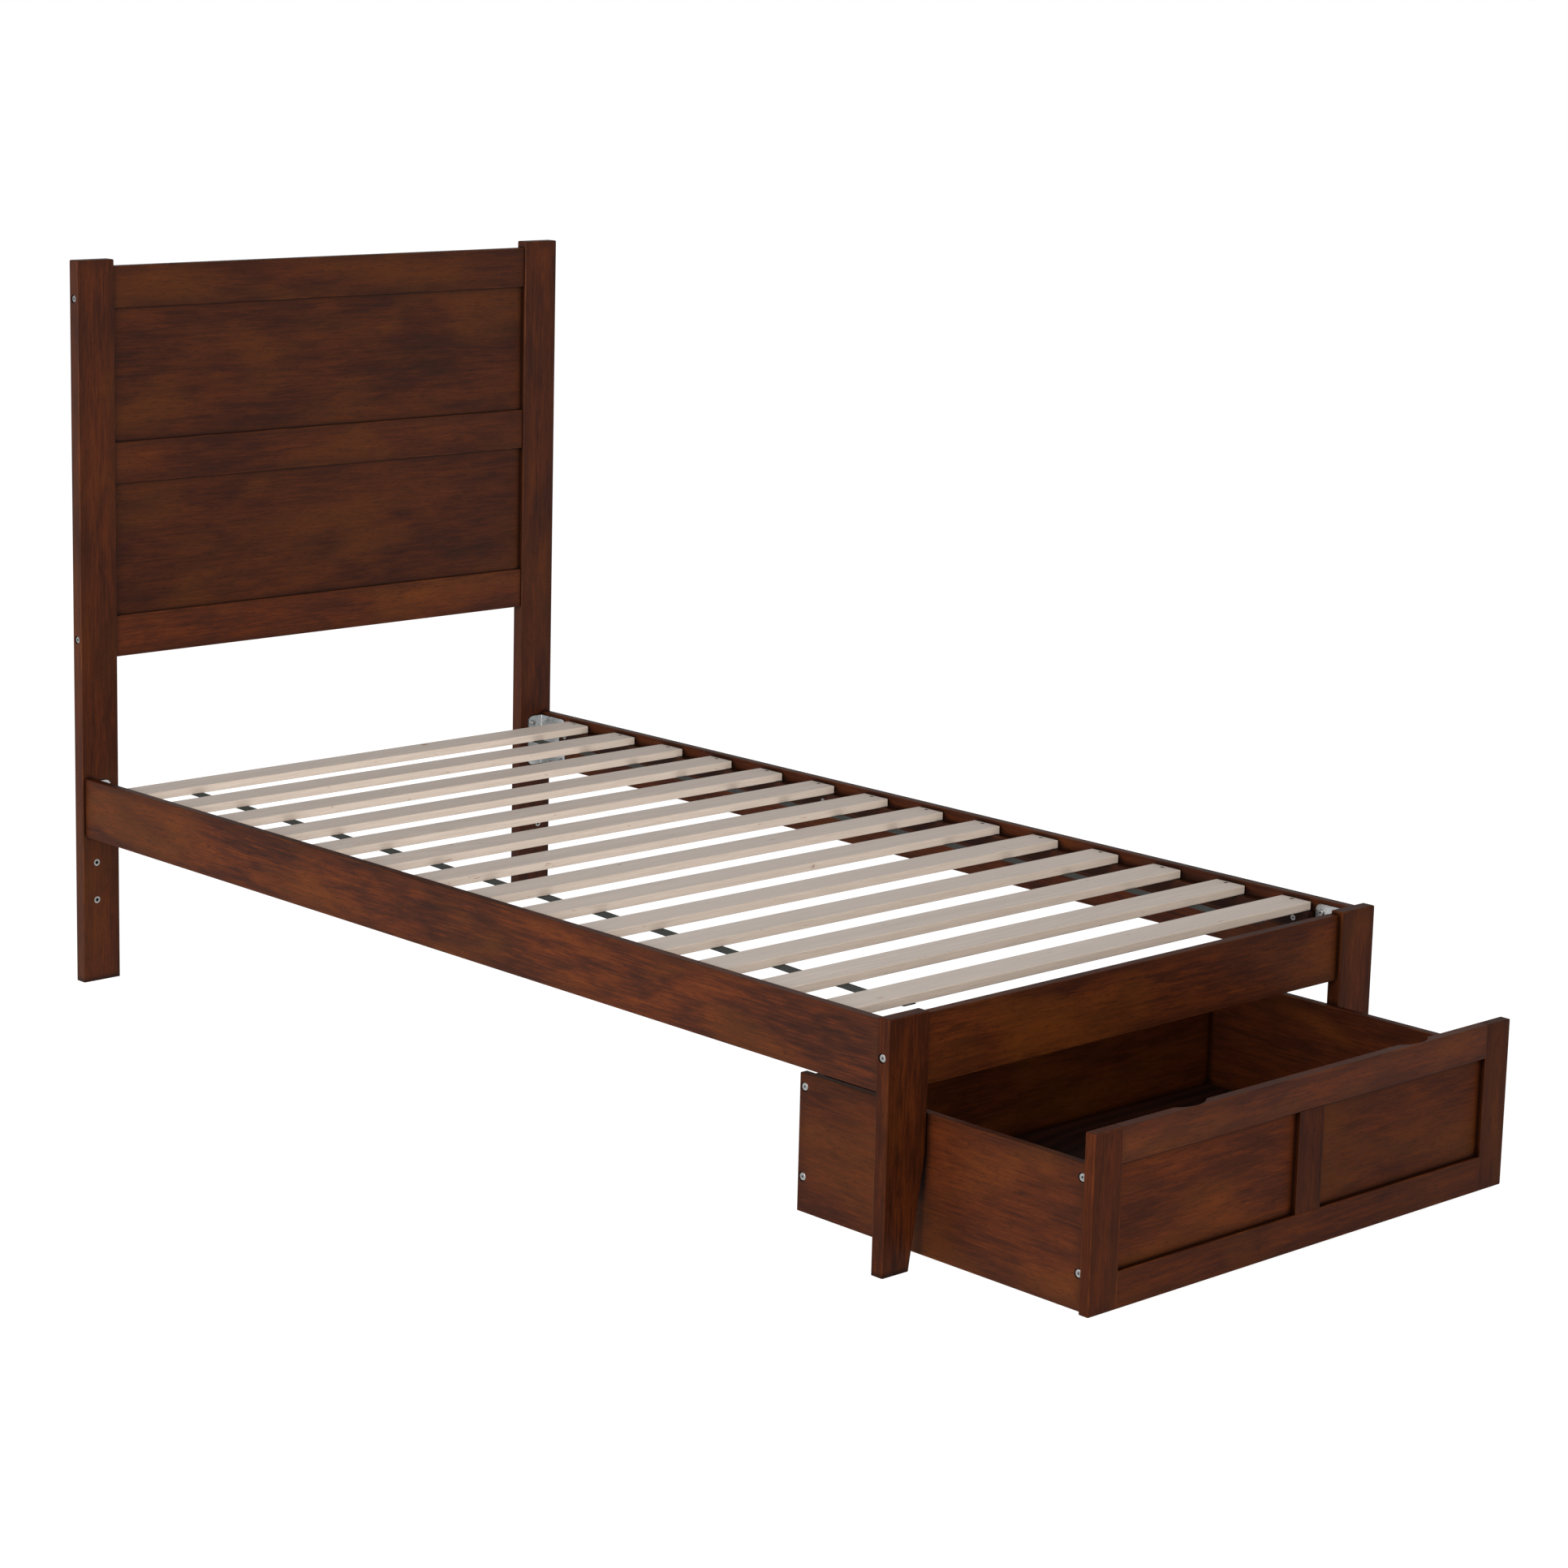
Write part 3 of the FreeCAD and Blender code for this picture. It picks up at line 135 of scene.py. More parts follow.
class Graph:
    """A node material under construction."""

    def __init__(self, name):
        self.material = bpy.data.materials.new(name)
        self.material.use_nodes = True
        self.nodes = self.material.node_tree.nodes
        self.links = self.material.node_tree.links
        self.nodes.clear()
        self.shader = self.nodes.new("ShaderNodeBsdfPrincipled")
        output = self.nodes.new("ShaderNodeOutputMaterial")
        self.links.new(self.shader.outputs["BSDF"], output.inputs["Surface"])

    def feed(self, socket, value):
        if isinstance(value, bpy.types.NodeSocket):
            self.links.new(value, socket)
        elif isinstance(value, tuple) and socket.type == "RGBA":
            socket.default_value = (*value, 1.0)
        else:
            socket.default_value = value

    def node(self, kind, inputs, **settings):
        made = self.nodes.new(kind)
        for name, value in settings.items():
            setattr(made, name, value)
        for name, value in inputs.items():
            self.feed(made.inputs[name], value)
        return made

    def set(self, **values):
        """Shader inputs by name, with _ for a space."""
        for name, value in values.items():
            self.feed(self.shader.inputs[name.replace("_", " ")], value)

    def math(self, operation, a, b=0.0, third=0.0):
        return self.node("ShaderNodeMath", {0: a, 1: b, 2: third}, operation=operation).outputs[0]

    def mix(self, amount, a, b, blend="MIX"):
        made = self.node("ShaderNodeMix", {0: amount, 6: a, 7: b}, data_type="RGBA", blend_type=blend)
        return made.outputs[2]

    def towards(self, colour, other, mask, strength):
        """The colour, mixed with the other one where the mask is 1 and as far as the strength says."""
        return self.mix(self.math("MULTIPLY", mask, strength), colour, other)

    def shaded(self, colour, shade):
        """The colour multiplied by a number."""
        grey = self.node("ShaderNodeCombineColor", {0: shade, 1: shade, 2: shade}).outputs[0]
        return self.mix(1.0, colour, grey, "MULTIPLY")

    def weighted(self, first, *others):
        """The sum of (value, weight) pairs."""
        total = self.math("MULTIPLY", *first)
        for part in others:
            total = self.math("ADD", total, self.math("MULTIPLY", *part))
        return total

    def wave(self, along, length):
        """A sine of this wavelength, from -1 to 1."""
        return self.math("SINE", self.math("MULTIPLY", along, 2 * math.pi / length))

    def range(self, value, low, high, to_low=0.0, to_high=1.0):
        """The value eased from low..high to to_low..to_high, and held beyond."""
        made = self.node("ShaderNodeMapRange", {"Value": value, "From Min": low, "From Max": high,
                                                "To Min": to_low, "To Max": to_high},
                         interpolation_type="SMOOTHSTEP")
        return made.outputs["Result"]

    def ramp(self, value, stops):
        made = self.node("ShaderNodeValToRGB", {"Fac": value})
        band = made.color_ramp.elements
        while len(band) < len(stops):
            band.new(0.5)
        for element, (place, colour) in zip(band, stops):
            element.position = place
            element.color = (*colour, 1.0)
        return made.outputs["Color"]

    def scaled(self, vector, x, y, z):
        return self.node("ShaderNodeVectorMath", {0: vector, 1: (x, y, z)}, operation="MULTIPLY").outputs[0]

    def noise(self, vector, detail=3.0, roughness=0.5, distortion=0.0):
        made = self.node("ShaderNodeTexNoise", {"Vector": vector, "Scale": 1.0, "Detail": detail,
                                                "Roughness": roughness, "Distortion": distortion})
        return made.outputs["Fac"]

    def grain(self, space, along, across, **settings):
        """Noise with about this many features to the metre along the grain and across it."""
        return self.noise(self.scaled(space, along, across, across), **settings)

    def openness(self, reach):
        """1 where nothing is near the surface, less in corners and beside what touches it."""
        return self.node("ShaderNodeAmbientOcclusion", {"Distance": reach}, samples=6).outputs["AO"]

    def bump(self, height, distance, strength, under=None):
        inputs = {"Height": height, "Distance": distance, "Strength": strength}
        if under is not None:
            inputs["Normal"] = under
        return self.node("ShaderNodeBump", inputs).outputs["Normal"]


def place_in_space(graph):
    return graph.node("ShaderNodeTexCoord", {}).outputs["Object"]


def board_space(graph, axis, seed):
    """Coordinates with the grain along the first axis, shifted so that no two boards are cut alike."""
    split = graph.node("ShaderNodeSeparateXYZ", {0: place_in_space(graph)}).outputs
    order = {"X": (0, 1, 2), "Y": (1, 0, 2), "Z": (2, 0, 1)}[axis]
    joined = graph.node("ShaderNodeCombineXYZ", {i: split[k] for i, k in enumerate(order)}).outputs[0]
    shift = (seed * 3.71 % 17.0, seed * 1.93 % 11.0, seed * 5.37 % 13.0)
    return graph.node("ShaderNodeVectorMath", {0: joined, 1: shift}, operation="ADD").outputs[0]


def edge_nearness(graph, box, width):
    """1 on the edges of a board that fills the box, 0 beyond the width from them."""
    low, high = box
    centre, half = (low + high) / 2, (high - low) / 2
    away = graph.node("ShaderNodeVectorMath", {0: place_in_space(graph), 1: tuple(centre)},
                      operation="SUBTRACT").outputs[0]
    away = graph.node("ShaderNodeVectorMath", {0: away}, operation="ABSOLUTE").outputs[0]
    room = graph.node("ShaderNodeVectorMath", {0: tuple(half), 1: away}, operation="SUBTRACT").outputs[0]
    x, y, z = graph.node("ShaderNodeSeparateXYZ", {0: room}).outputs
    smaller = graph.math("MINIMUM", x, y)
    larger = graph.math("MAXIMUM", x, y)
    second = graph.math("MAXIMUM", smaller, graph.math("MINIMUM", larger, z))
    return graph.range(second, 0.0, width, 1.0, 0.0)


def growth_rings(graph, space, seed, spacing):
    """Flat-sawn figure: the board cuts the rings of a trunk whose middle lies off to one side."""
    shift = (0.0, 0.09 + 0.07 * math.sin(seed * 2.3), 0.06 * math.cos(seed * 1.7))
    bent = graph.node("ShaderNodeTexNoise", {"Vector": graph.scaled(space, 1.1, 2.0, 2.0), "Scale": 1.0,
                                             "Detail": 2.0}).outputs["Color"]
    bent = graph.scaled(bent, 0.0, 0.16, 0.10)
    about = graph.node("ShaderNodeVectorMath", {0: graph.scaled(space, 0.06, 1.0, 1.0), 1: shift},
                       operation="ADD").outputs[0]
    about = graph.node("ShaderNodeVectorMath", {0: about, 1: bent}, operation="ADD").outputs[0]
    wave = graph.node("ShaderNodeTexWave", {"Vector": about, "Scale": math.pi / 10.0 / spacing,
                                            "Distortion": 2.2, "Detail": 3.0, "Detail Scale": 1.6,
                                            "Detail Roughness": 0.6},
                      wave_type="RINGS", rings_direction="X", wave_profile="SIN")
    return wave.outputs["Fac"]


def contour_figure(graph, space, lines):
    """Flat-sawn figure: long arches and islands, as the lines of equal height on a smooth hill."""
    hill = graph.grain(space, 0.9, 6.0, detail=1.0, roughness=0.4)
    return graph.math("SINE", graph.math("MULTIPLY", hill, 2 * math.pi * lines))


def stain_depth(graph, space, mottle, streak, lively):
    """How light the stain is, about 0.5: soft clouds, mottle, streaks and a trace of the figure."""
    cloud = graph.grain(space, 4.0, 12.0, detail=3.0, distortion=0.4)
    figure = contour_figure(graph, space, FIGURE_LINES)
    depth = graph.weighted((cloud, CLOUD_WEIGHT), (mottle, MOTTLE_WEIGHT), (streak, STREAK_WEIGHT),
                           (figure, FIGURE_WEIGHT))
    return graph.math("MULTIPLY_ADD", graph.math("SUBTRACT", depth, 0.5), lively, third=0.5)


def wear_and_painted_corner_light(graph, colour, space, box, mottle):
    """Rubbed edges, a deeper rim, painted shade in the inside corners and a painted amber bounce light
    beside it.
    """
    patchy = graph.range(graph.grain(space, 9.0, 40.0, detail=3.0), 0.38, 0.68)
    rubbed = graph.math("MULTIPLY", edge_nearness(graph, box, EDGE_WIDTH), patchy)
    colour = graph.towards(colour, EDGE_RUB, rubbed, RUB_STRENGTH)
    rim = graph.math("MULTIPLY", edge_nearness(graph, box, RIM_WIDTH), graph.range(mottle, 0.36, 0.58))
    colour = graph.towards(colour, STAIN_DEEP, rim, RIM_STRENGTH)
    open_sky = graph.openness(CORNER_REACH)
    # painted bounce light: an amber band where the surface is a little less open than a flat face
    inner, outer = graph.range(open_sky, 0.80, 0.90), graph.range(open_sky, 0.93, 0.99, 1.0, 0.0)
    colour = graph.towards(colour, PAINTED_BOUNCE_LIGHT, graph.math("MULTIPLY", inner, outer), PAINTED_BOUNCE_STRENGTH)
    # painted shade: the colour darkened towards near-black in inside corners and joints, where ambient
    # occlusion finds them
    return graph.mix(graph.range(open_sky, 0.54, 0.90, PAINTED_SHADE_STRENGTH, 0.0), colour, DARKEST_STAIN_AND_PAINTED_SHADE)


def dark_wood(name, axis, seed, box, tone, gloss, lively):
    """Dark stained hardwood under a thin satin lacquer: cloudy stain, short wisps, open pores."""
    graph = Graph(name)
    space = board_space(graph, axis, seed)
    mottle = graph.grain(space, 12.0, 62.0, detail=5.0, roughness=0.62, distortion=0.5)
    streak = graph.grain(space, 13.0, 260.0, detail=5.0, roughness=0.68, distortion=0.4)
    wisp = graph.grain(space, 22.0, 120.0, detail=5.0, roughness=0.68, distortion=1.5)
    fleck = graph.range(graph.grain(space, 70.0, 460.0, detail=3.0, distortion=0.4), 0.54, 0.68)
    fibre = graph.grain(space, 34.0, 900.0, detail=3.0, roughness=0.6)
    pore = graph.range(graph.grain(space, 70.0, 1500.0, detail=2.0), 0.60, 0.72)
    warm = graph.range(graph.grain(space, 3.4, 8.0, detail=2.0, distortion=0.6), 0.46, 0.70)
    colour = graph.ramp(stain_depth(graph, space, mottle, streak, lively), STAIN_STOPS)
    colour = graph.towards(colour, STAIN_AMBER, warm, WARM_STRENGTH)
    colour = graph.mix(graph.range(wisp, 0.57, 0.73, 0.0, WISP_STRENGTH), colour, STAIN_DEEP)
    colour = graph.towards(colour, STAIN_DEEP, fleck, FLECK_STRENGTH)
    colour = graph.shaded(colour, graph.math("MULTIPLY", graph.range(fibre, 0.25, 0.75, 0.88, 1.12), tone))
    colour = graph.towards(colour, STAIN_DEEP, pore, PORE_STRENGTH)
    colour = wear_and_painted_corner_light(graph, colour, space, box, mottle)
    rough = graph.math("ADD", streak, graph.math("MULTIPLY", pore, 0.3))
    graph.set(Base_Color=colour, Roughness=graph.range(rough, 0.3, 0.9, *LACQUER_ROUGHNESS),
              Specular_IOR_Level=LACQUER_SPECULAR * gloss, Coat_Weight=LACQUER_COAT * gloss,
              Coat_Roughness=COAT_ROUGHNESS)
    height = graph.math("SUBTRACT", graph.math("MULTIPLY", fibre, 0.45), graph.math("MULTIPLY", pore, 0.6))
    ripple = graph.bump(graph.grain(space, 6.0, 30.0, detail=2.0), 0.0005, 0.3)
    graph.set(Normal=graph.bump(height, 0.00010, 0.5, under=ripple))
    return graph.material


def pale_wood(name, seed, box):
    """Bare planed softwood: soft bands of late wood, a few small knots."""
    graph = Graph(name)
    space = board_space(graph, "X", seed)
    rings = growth_rings(graph, space, seed, PINE_RING_WIDTH)
    band = graph.grain(space, 1.2, 42.0, detail=4.0, roughness=0.6, distortion=0.3)
    late = graph.math("MULTIPLY", graph.range(rings, 0.45, 0.98), graph.range(band, 0.40, 0.62))
    fibre = graph.grain(space, 14.0, 520.0, detail=3.0, roughness=0.6)
    dash = graph.range(graph.grain(space, 42.0, 230.0, detail=2.0, distortion=0.6), 0.70, 0.76)
    colour = graph.ramp(band, [(0.33, PINE_MIDDLE), (0.62, PINE_LIGHT)])
    colour = graph.towards(colour, PINE_LATE, late, 0.26)
    # painted light: faces turned along Y, front and back, drawn lighter and warmer than the tops
    normal = graph.node("ShaderNodeNewGeometry", {}).outputs["Normal"]
    painted_front_light_mask = graph.math("ABSOLUTE", graph.node("ShaderNodeSeparateXYZ", {0: normal}).outputs[1])
    colour = graph.towards(colour, PINE_PAINTED_FRONT_LIGHT, painted_front_light_mask, 0.60)
    colour = graph.shaded(colour, graph.range(fibre, 0.25, 0.75, 0.90, 1.08))
    colour = knots(graph, colour, space)
    colour = graph.towards(colour, PINE_KNOT, dash, 0.60)
    colour = graph.towards(colour, PINE_LATE, edge_nearness(graph, box, PINE_EDGE_WIDTH), 0.25)
    graph.set(Base_Color=colour, Roughness=graph.range(fibre, 0.3, 0.7, 0.50, 0.66), Specular_IOR_Level=0.28)
    relief = graph.math("ADD", fibre, graph.math("MULTIPLY", late, 0.5))
    graph.set(Normal=graph.bump(relief, 0.00015, 0.6))
    return graph.material


def knots(graph, colour, space):
    """Small ragged knots, each with a halo, where the surface cuts the middle of a Voronoi cell."""
    along = graph.scaled(space, 0.6, 1.0, 1.0)
    cell = graph.node("ShaderNodeTexVoronoi", {"Vector": along, "Scale": KNOT_CELLS}, feature="F1")
    ragged = graph.grain(space, 160.0, 260.0, detail=4.0, roughness=0.7)
    reach = graph.math("ADD", cell.outputs["Distance"], graph.math("MULTIPLY", ragged, 0.10))
    halo = graph.range(reach, KNOT_SIZE, 0.130, 1.0, 0.0)
    knot = graph.range(reach, KNOT_SIZE, 0.105, 1.0, 0.0)
    colour = graph.towards(colour, PINE_LATE, halo, 0.30)
    return graph.towards(colour, PINE_KNOT, knot, 0.85)


def plywood(name, seed, box):
    """A stained plywood sheet: rotary-cut face veneer, plies showing on the edges."""
    graph = Graph(name)
    space = board_space(graph, "X", seed)
    rings = growth_rings(graph, space, seed, VENEER_RING_WIDTH)
    band = graph.grain(space, 1.4, 14.0, detail=5.0, roughness=0.6, distortion=1.1)
    fibre = graph.grain(space, 10.0, 300.0, detail=3.0)
    colour = graph.ramp(graph.weighted((band, 0.7), (rings, 0.3)), PLY_STOPS)
    height = graph.node("ShaderNodeSeparateXYZ", {0: place_in_space(graph)}).outputs[2]
    ply = graph.range(graph.wave(height, PLY_PITCH), -0.2, 0.2)
    edge = graph.math("MULTIPLY", edge_nearness(graph, box, PLY_EDGE_WIDTH), 0.5)
    colour = graph.mix(graph.math("MULTIPLY", ply, edge), colour, EDGE_RUB)
    graph.set(Base_Color=colour, Roughness=graph.range(fibre, 0.3, 0.7, 0.45, 0.6), Specular_IOR_Level=0.2,
              Normal=graph.bump(fibre, 0.0001, 0.6))
    return graph.material


def zinc_steel(name, tint, rough):
    """Zinc plating: a faint mottle and fine drawing marks."""
    graph = Graph(name)
    space = place_in_space(graph)
    mottle = graph.noise(graph.scaled(space, 90.0, 90.0, 90.0), detail=4.0, roughness=0.6)
    cell = graph.node("ShaderNodeTexVoronoi", {"Vector": space, "Scale": 260.0}, feature="F1")
    drawn = graph.noise(graph.scaled(space, 60.0, 60.0, 1500.0), detail=2.0)
    shade = graph.weighted((mottle, 0.6), (cell.outputs["Distance"], 0.35))
    dark = tuple(part * ZINC_SHADE for part in tint)
    colour = graph.mix(graph.range(shade, 0.25, 0.75), dark, tint)
    graph.set(Base_Color=colour, Metallic=1.0,
              Roughness=graph.range(shade, 0.2, 0.8, rough - 0.06, rough + 0.12),
              Normal=graph.bump(graph.math("ADD", drawn, mottle), 0.00006, 0.5))
    return graph.material


def black_steel(name):
    """Black oxide screws with the plating rubbed on their high spots."""
    graph = Graph(name)
    space = place_in_space(graph)
    rub = graph.range(graph.noise(graph.scaled(space, 500.0, 500.0, 500.0), detail=3.0), 0.45, 0.75)
    colour = graph.mix(rub, OXIDE_BLACK, OXIDE_RUBBED)
    graph.set(Base_Color=colour, Metallic=0.85, Roughness=graph.range(rub, 0.0, 1.0, 0.48, 0.32),
              Normal=graph.bump(rub, 0.00004, 0.5))
    return graph.material


def webbing(name):
    """Polypropylene webbing, woven in a chevron twill."""
    graph = Graph(name)
    x, y, _ = graph.node("ShaderNodeSeparateXYZ", {0: place_in_space(graph)}).outputs
    warp, weft = graph.wave(x, WARP_PITCH), graph.wave(y, WEFT_PITCH)
    lean = graph.math("SINE", graph.weighted((x, math.pi / WARP_PITCH), (y, math.pi / WEFT_PITCH)))
    thread = graph.math("ADD", graph.math("MULTIPLY", warp, weft), graph.math("MULTIPLY", lean, 0.6))
    fuzz = graph.noise(graph.scaled(place_in_space(graph), 900.0, 900.0, 900.0), detail=2.0)
    colour = graph.mix(graph.range(thread, -1.2, 1.2), WEB_DARK, WEB_LIGHT)
    colour = graph.towards(colour, WEB_FUZZ, fuzz, 0.25)
    graph.set(Base_Color=colour, Roughness=graph.range(fuzz, 0.3, 0.7, 0.62, 0.82), Specular_IOR_Level=0.15,
              Sheen_Weight=0.04, Normal=graph.bump(graph.math("ADD", thread, fuzz), 0.00022, 0.8))
    return graph.material


def wheel_plastic(name):
    """White moulded nylon, a little scuffed and dusty on the tread."""
    graph = Graph(name)
    space = place_in_space(graph)
    scuff = graph.range(graph.noise(graph.scaled(space, 240.0, 240.0, 240.0), detail=4.0), 0.50, 0.78)
    cloud = graph.noise(graph.scaled(space, 60.0, 60.0, 60.0), detail=2.0)
    colour = graph.mix(graph.range(cloud, 0.3, 0.7), NYLON_DULL, NYLON_BRIGHT)
    colour = graph.towards(colour, NYLON_SCUFFED, scuff, 0.35)
    graph.set(Base_Color=colour, Roughness=graph.range(scuff, 0.0, 1.0, 0.34, 0.55),
              Normal=graph.bump(graph.math("ADD", cloud, scuff), 0.00008, 0.5))
    return graph.material


# ---- which material goes where ----
# how light each board is drawn, as a factor, by the start of its name
WOOD_TONES = {
    "head_post": 1.00, "foot_leg": 1.00, "side_rail": 1.14, "foot_rail": 1.27, "headboard": 0.90,
    "headboard_top_rail": 0.94, "headboard_middle_rail": 1.00, "headboard_bottom_rail": 1.42,
    # the slat cleats are drawn much darker than the other boards
    "slat_cleat": 0.45, "drawer_side": 0.98, "drawer_inner": 1.05, "drawer_back": 0.92, "drawer_face": 1.0,
    "drawer_face_stile_left": 1.14, "drawer_face_stile_right": 0.82, "drawer_face_mullion": 0.90,
    "drawer_face_panel_left": 1.30, "drawer_face_panel_right": 0.98, "drawer_face_top_rail": 1.32,
    "drawer_face_bottom_rail": 1.05,
}
# the same for how glossy its lacquer is, and how lively its figure
WOOD_GLOSS = {"headboard": 1.4, "head_post": 1.3, "drawer_face": 0.55, "drawer_face_top_rail": 0.9,
              "drawer": 0.6, "drawer_side": 0.9, "foot_leg": 0.6, "foot_rail": 0.6}
WOOD_FIGURE = {"side_rail": 1.55, "foot_rail": 1.30, "foot_leg": 1.35}
PLATE_NODES = ("corner_brackets", "caster_housings")
HEAD_NODES = ("frame_bolts", "frame_barrel_nuts", "bracket_bolts", "threaded_inserts", "drawer_bolts",
              "drawer_barrel_nuts", "drawer_face_screws", "caster_axles", "caster_screws", "strap_staples")


def longest_axis(box):
    size = box[1] - box[0]
    return "XYZ"[max(range(3), key=lambda i: size[i])]


def by_name(table, name, otherwise=None):
    """The table's value for the longest key that the name starts with."""
    matches = [key for key in table if name.startswith(key)]
    return table[max(matches, key=len)] if matches else otherwise


def dress(obj, material):
    """Give every slot of the object the material."""
    if not obj.material_slots:
        obj.data.materials.append(material)
    for slot in obj.material_slots:
        slot.material = material


def dress_frame():
    plate = zinc_steel("zinc_steel", **ZINC_PLATE)
    heads = zinc_steel("zinc_steel_heads", **ZINC_HEADS)
    screws = zinc_steel("zinc_steel_screws", **ZINC_SCREWS)
    for seed, name in enumerate(sorted(NODES), start=1):
        obj, box = NODES[name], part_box(name)
        if name in PLATE_NODES:
            dress(obj, plate)
        elif name in HEAD_NODES:
            dress(obj, heads)
        elif name == "cleat_screws":
            dress(obj, screws)
        elif name == "slat_screws":
            dress(obj, black_steel("black_steel"))
        elif name == "drawer_bottom":
            dress(obj, plywood("stained_plywood", seed, box))
        elif name.startswith("wheel_"):
            dress(obj, wheel_plastic("wheel_plastic_" + name))
        elif name.startswith("strap_"):
            continue
        elif name.startswith("slat_") and by_name(WOOD_TONES, name) is None:
            dress(obj, pale_wood("pale_wood_" + name, seed, box))
        else:
            tone, gloss = by_name(WOOD_TONES, name), by_name(WOOD_GLOSS, name, 1.0)
            lively = by_name(WOOD_FIGURE, name, 1.0)
            dress(obj, dark_wood("dark_wood_" + name, longest_axis(box), seed, box, tone, gloss, lively))


# ---- webbing straps ----
STRAP_SAG = 0.0009           # how far the webbing hangs between two slats
STRAP_RIBS = 9
STRAP_RIB_POINTS = 4
STRAP_RIB_HEIGHT = 0.00022
STRAP_STEP = 0.004
STRAP_MERGE = 1e-6


def slat_rests():
    """The near and far y of every slat, where the webbing is held up."""
    spans = [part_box(name) for name in NODES if name.startswith("slat_") and name[5:].isdigit()]
    return sorted((low.y, high.y) for low, high in spans)


def hang(y, rests):
    """How far the webbing is below its stapled height at y."""
    for (_, start), (end, _) in zip(rests, rests[1:]):
        if start < y < end:
            along = (y - start) / (end - start)
            return STRAP_SAG * math.sin(math.pi * along) ** 2
    return 0.0


def strap_section(half_width, half_thickness):
    """The webbing's ribbed cross-section as (x, z), once round."""
    count = STRAP_RIBS * STRAP_RIB_POINTS
    points = []
    for side in (1, -1):
        for i in range(count + 1):
            across = -1 + 2 * i / count
            rib = STRAP_RIB_HEIGHT * (0.5 + 0.5 * math.cos(math.pi * across * STRAP_RIBS))
            edge = min(1.0, (1 - abs(across)) * half_width / half_thickness)
            depth = (half_thickness - STRAP_RIB_HEIGHT) * math.sin(edge * math.pi / 2) + rib * edge
            points.append((side * across * half_width, side * depth))
    return points


def strap_mesh(name, box, rests):
    """The webbing swept from its foot end to its head end, hanging between the slats."""
    low, high = box
    centre = (low + high) / 2
    section = strap_section((high.x - low.x) / 2, (high.z - low.z) / 2)
    steps = round((high.y - low.y) / STRAP_STEP)
    mesh = bmesh.new()
    rings = []
    for i in range(steps + 1):
        y = low.y + (high.y - low.y) * i / steps
        z = centre.z - hang(y, rests)
        rings.append([mesh.verts.new((centre.x + x, y, z + up)) for x, up in section])
    for first, second in zip(rings, rings[1:]):
        for k in range(len(section)):
            after = (k + 1) % len(section)
            mesh.faces.new((first[k], second[k], second[after], first[after]))
    mesh.faces.new(rings[0])
    mesh.faces.new(rings[-1][::-1])
    bmesh.ops.remove_doubles(mesh, verts=mesh.verts, dist=STRAP_MERGE)
    bmesh.ops.recalc_face_normals(mesh, faces=mesh.faces)
    data = bpy.data.meshes.new(name)
    mesh.to_mesh(data)
    mesh.free()
    data.shade_smooth()
    return data


def build_straps():
    material = webbing("webbing")
    rests = slat_rests()
    for side in ("left", "right"):
        node = "strap_" + side
        data = strap_mesh("webbing_" + side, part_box(node), rests)
        piece = bpy.data.objects.new("webbing_" + side, data)
        bpy.context.scene.collection.objects.link(piece)
        data.materials.append(material)
        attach(piece, "bed_frame")
        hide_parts(node)


# ---- the studio ----

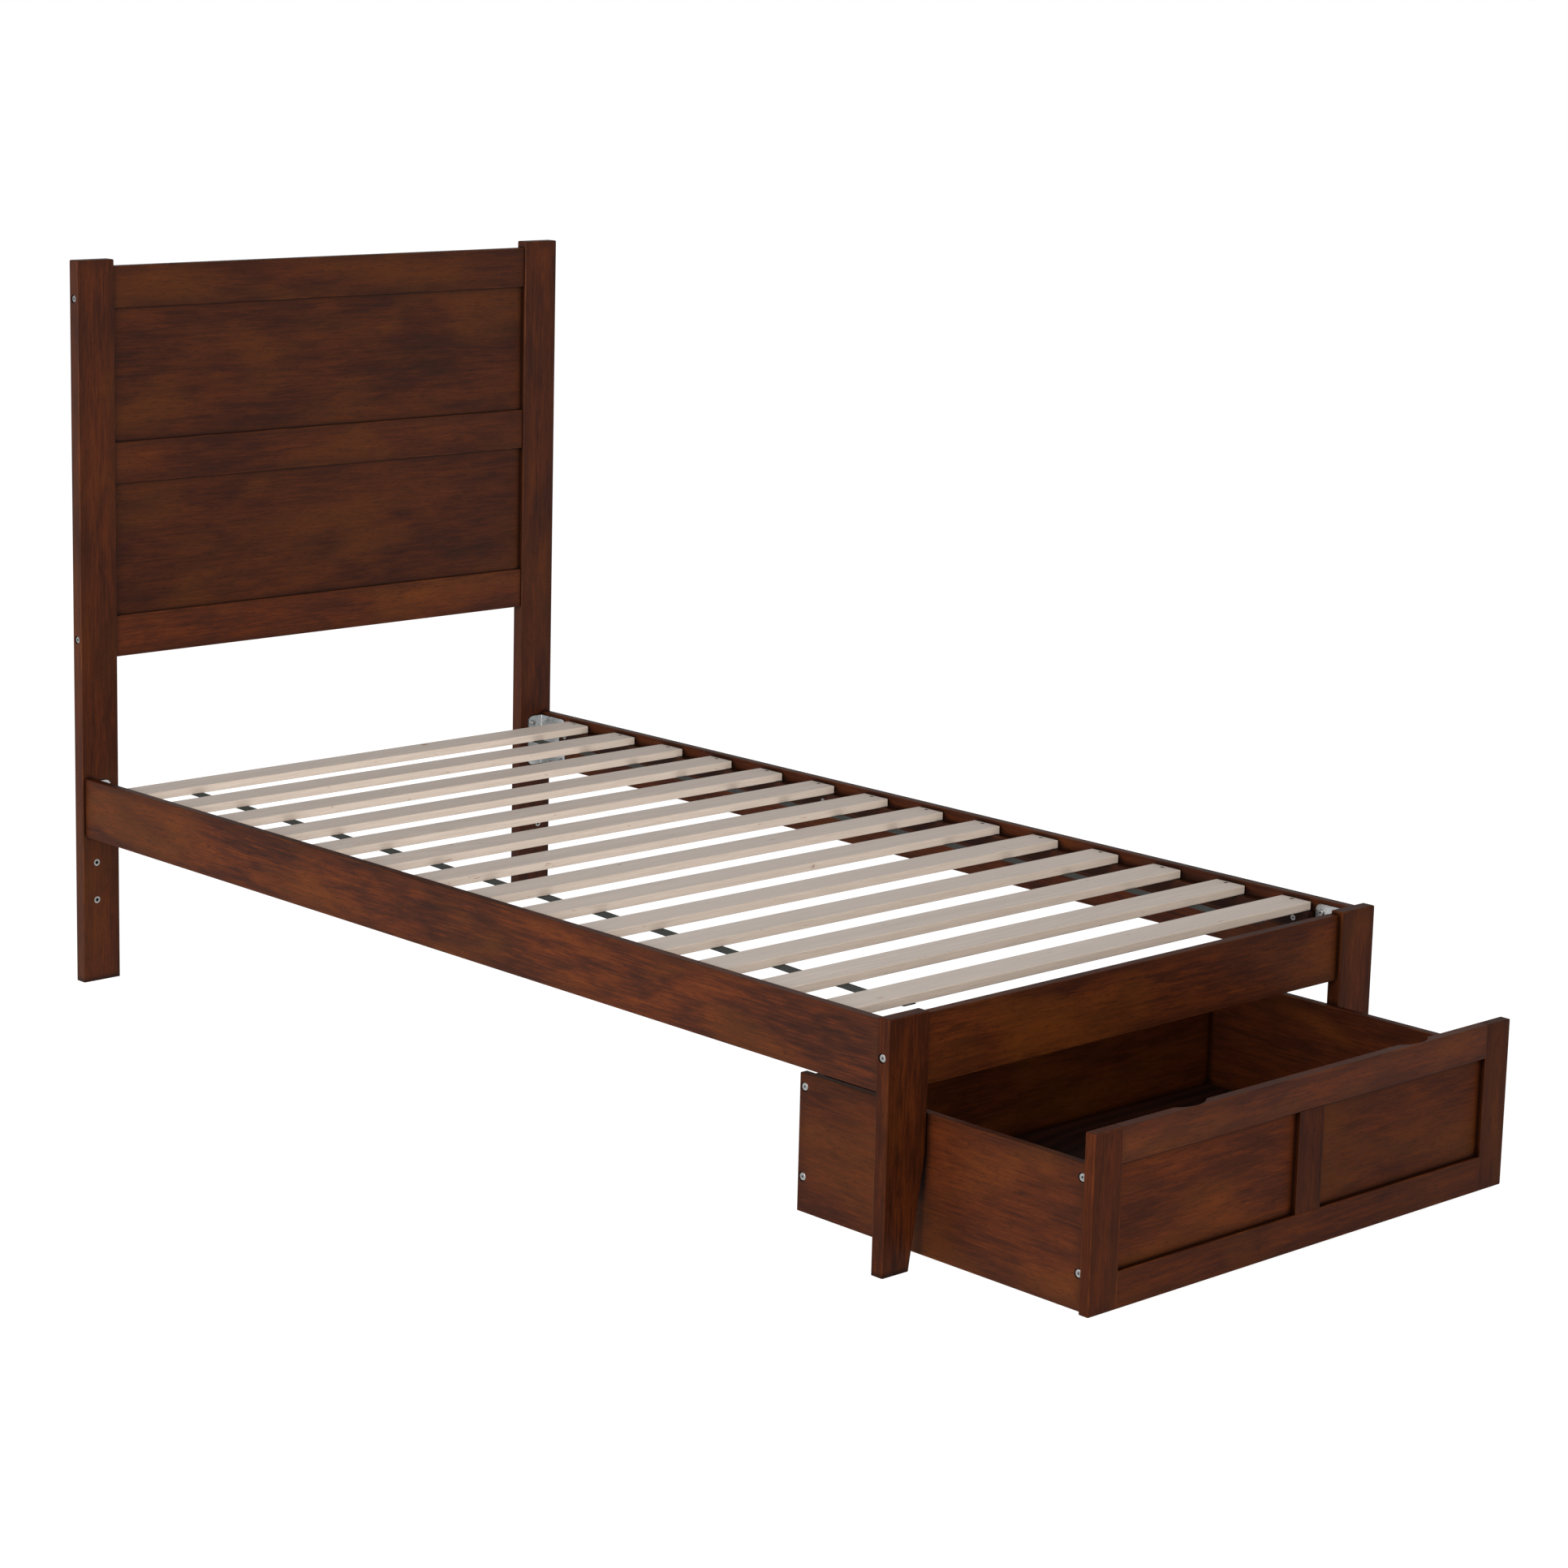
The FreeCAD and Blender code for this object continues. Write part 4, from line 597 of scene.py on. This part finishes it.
def make_camera():
    turn, down, roll = (math.radians(angle) for angle in (CAMERA_TURN, CAMERA_DOWN, CAMERA_ROLL))
    ahead = Vector((math.sin(turn) * math.cos(down), math.cos(turn) * math.cos(down), -math.sin(down)))
    right = Vector((math.cos(turn), -math.sin(turn), 0.0))
    up = right.cross(ahead)
    right, up = (right * math.cos(roll) + up * math.sin(roll), up * math.cos(roll) - right * math.sin(roll))
    turned = Matrix((right, up, -ahead)).transposed().to_4x4()
    camera = bpy.data.objects.new("camera", bpy.data.cameras.new("camera"))
    bpy.context.scene.collection.objects.link(camera)
    camera.matrix_world = Matrix.Translation(CAMERA_PLACE) @ turned
    camera.data.lens = CAMERA_LENS
    camera.data.sensor_width = CAMERA_SENSOR
    camera.data.shift_x, camera.data.shift_y = CAMERA_SHIFT
    camera.data.clip_end = CAMERA_REACH
    bpy.context.scene.camera = camera


def area_light(name, place, aim, size, power, colour):
    light = bpy.data.lights.new(name, "AREA")
    light.shape = "DISK"
    light.size = size
    light.energy = power
    light.color = colour
    obj = bpy.data.objects.new(name, light)
    bpy.context.scene.collection.objects.link(obj)
    obj.location = place
    obj.rotation_euler = (Vector(aim) - Vector(place)).to_track_quat("-Z", "Y").to_euler()


def make_lights():
    world = bpy.data.worlds.new("studio")
    world.use_nodes = True
    nodes, links = world.node_tree.nodes, world.node_tree.links
    height = nodes.new("ShaderNodeSeparateXYZ")
    links.new(nodes.new("ShaderNodeTexCoord").outputs["Generated"], height.inputs[0])
    dimmer = nodes.new("ShaderNodeMapRange")
    dimmer.inputs["From Min"].default_value = SKY_RISE
    dimmer.inputs["To Min"].default_value = SKY_LOW
    dimmer.inputs["To Max"].default_value = SKY_HIGH
    links.new(height.outputs["Z"], dimmer.inputs["Value"])
    nodes["Background"].inputs["Color"].default_value = (1.0, 1.0, 1.0, 1.0)
    links.new(dimmer.outputs["Result"], nodes["Background"].inputs["Strength"])
    bpy.context.scene.world = world
    area_light("key", **KEY_LIGHT)
    area_light("front", **FRONT_LIGHT)


def make_floor():
    mesh = bpy.data.meshes.new("floor")
    half = FLOOR_SIZE / 2
    corners = [(-half, -half, 0), (half, -half, 0), (half, half, 0), (-half, half, 0)]
    mesh.from_pydata(corners, [], [(0, 1, 2, 3)])
    floor = bpy.data.objects.new("floor", mesh)
    bpy.context.scene.collection.objects.link(floor)
    graph = Graph("floor")
    graph.set(Base_Color=FLOOR_COLOUR, Roughness=0.9, Specular_IOR_Level=0.0,
              Emission_Color=(1.0, 1.0, 1.0), Emission_Strength=FLOOR_GLOW)
    mesh.materials.append(graph.material)


make_camera()
make_lights()
make_floor()
dress_frame()
build_straps()
bpy.context.scene.view_settings.view_transform = "Standard"
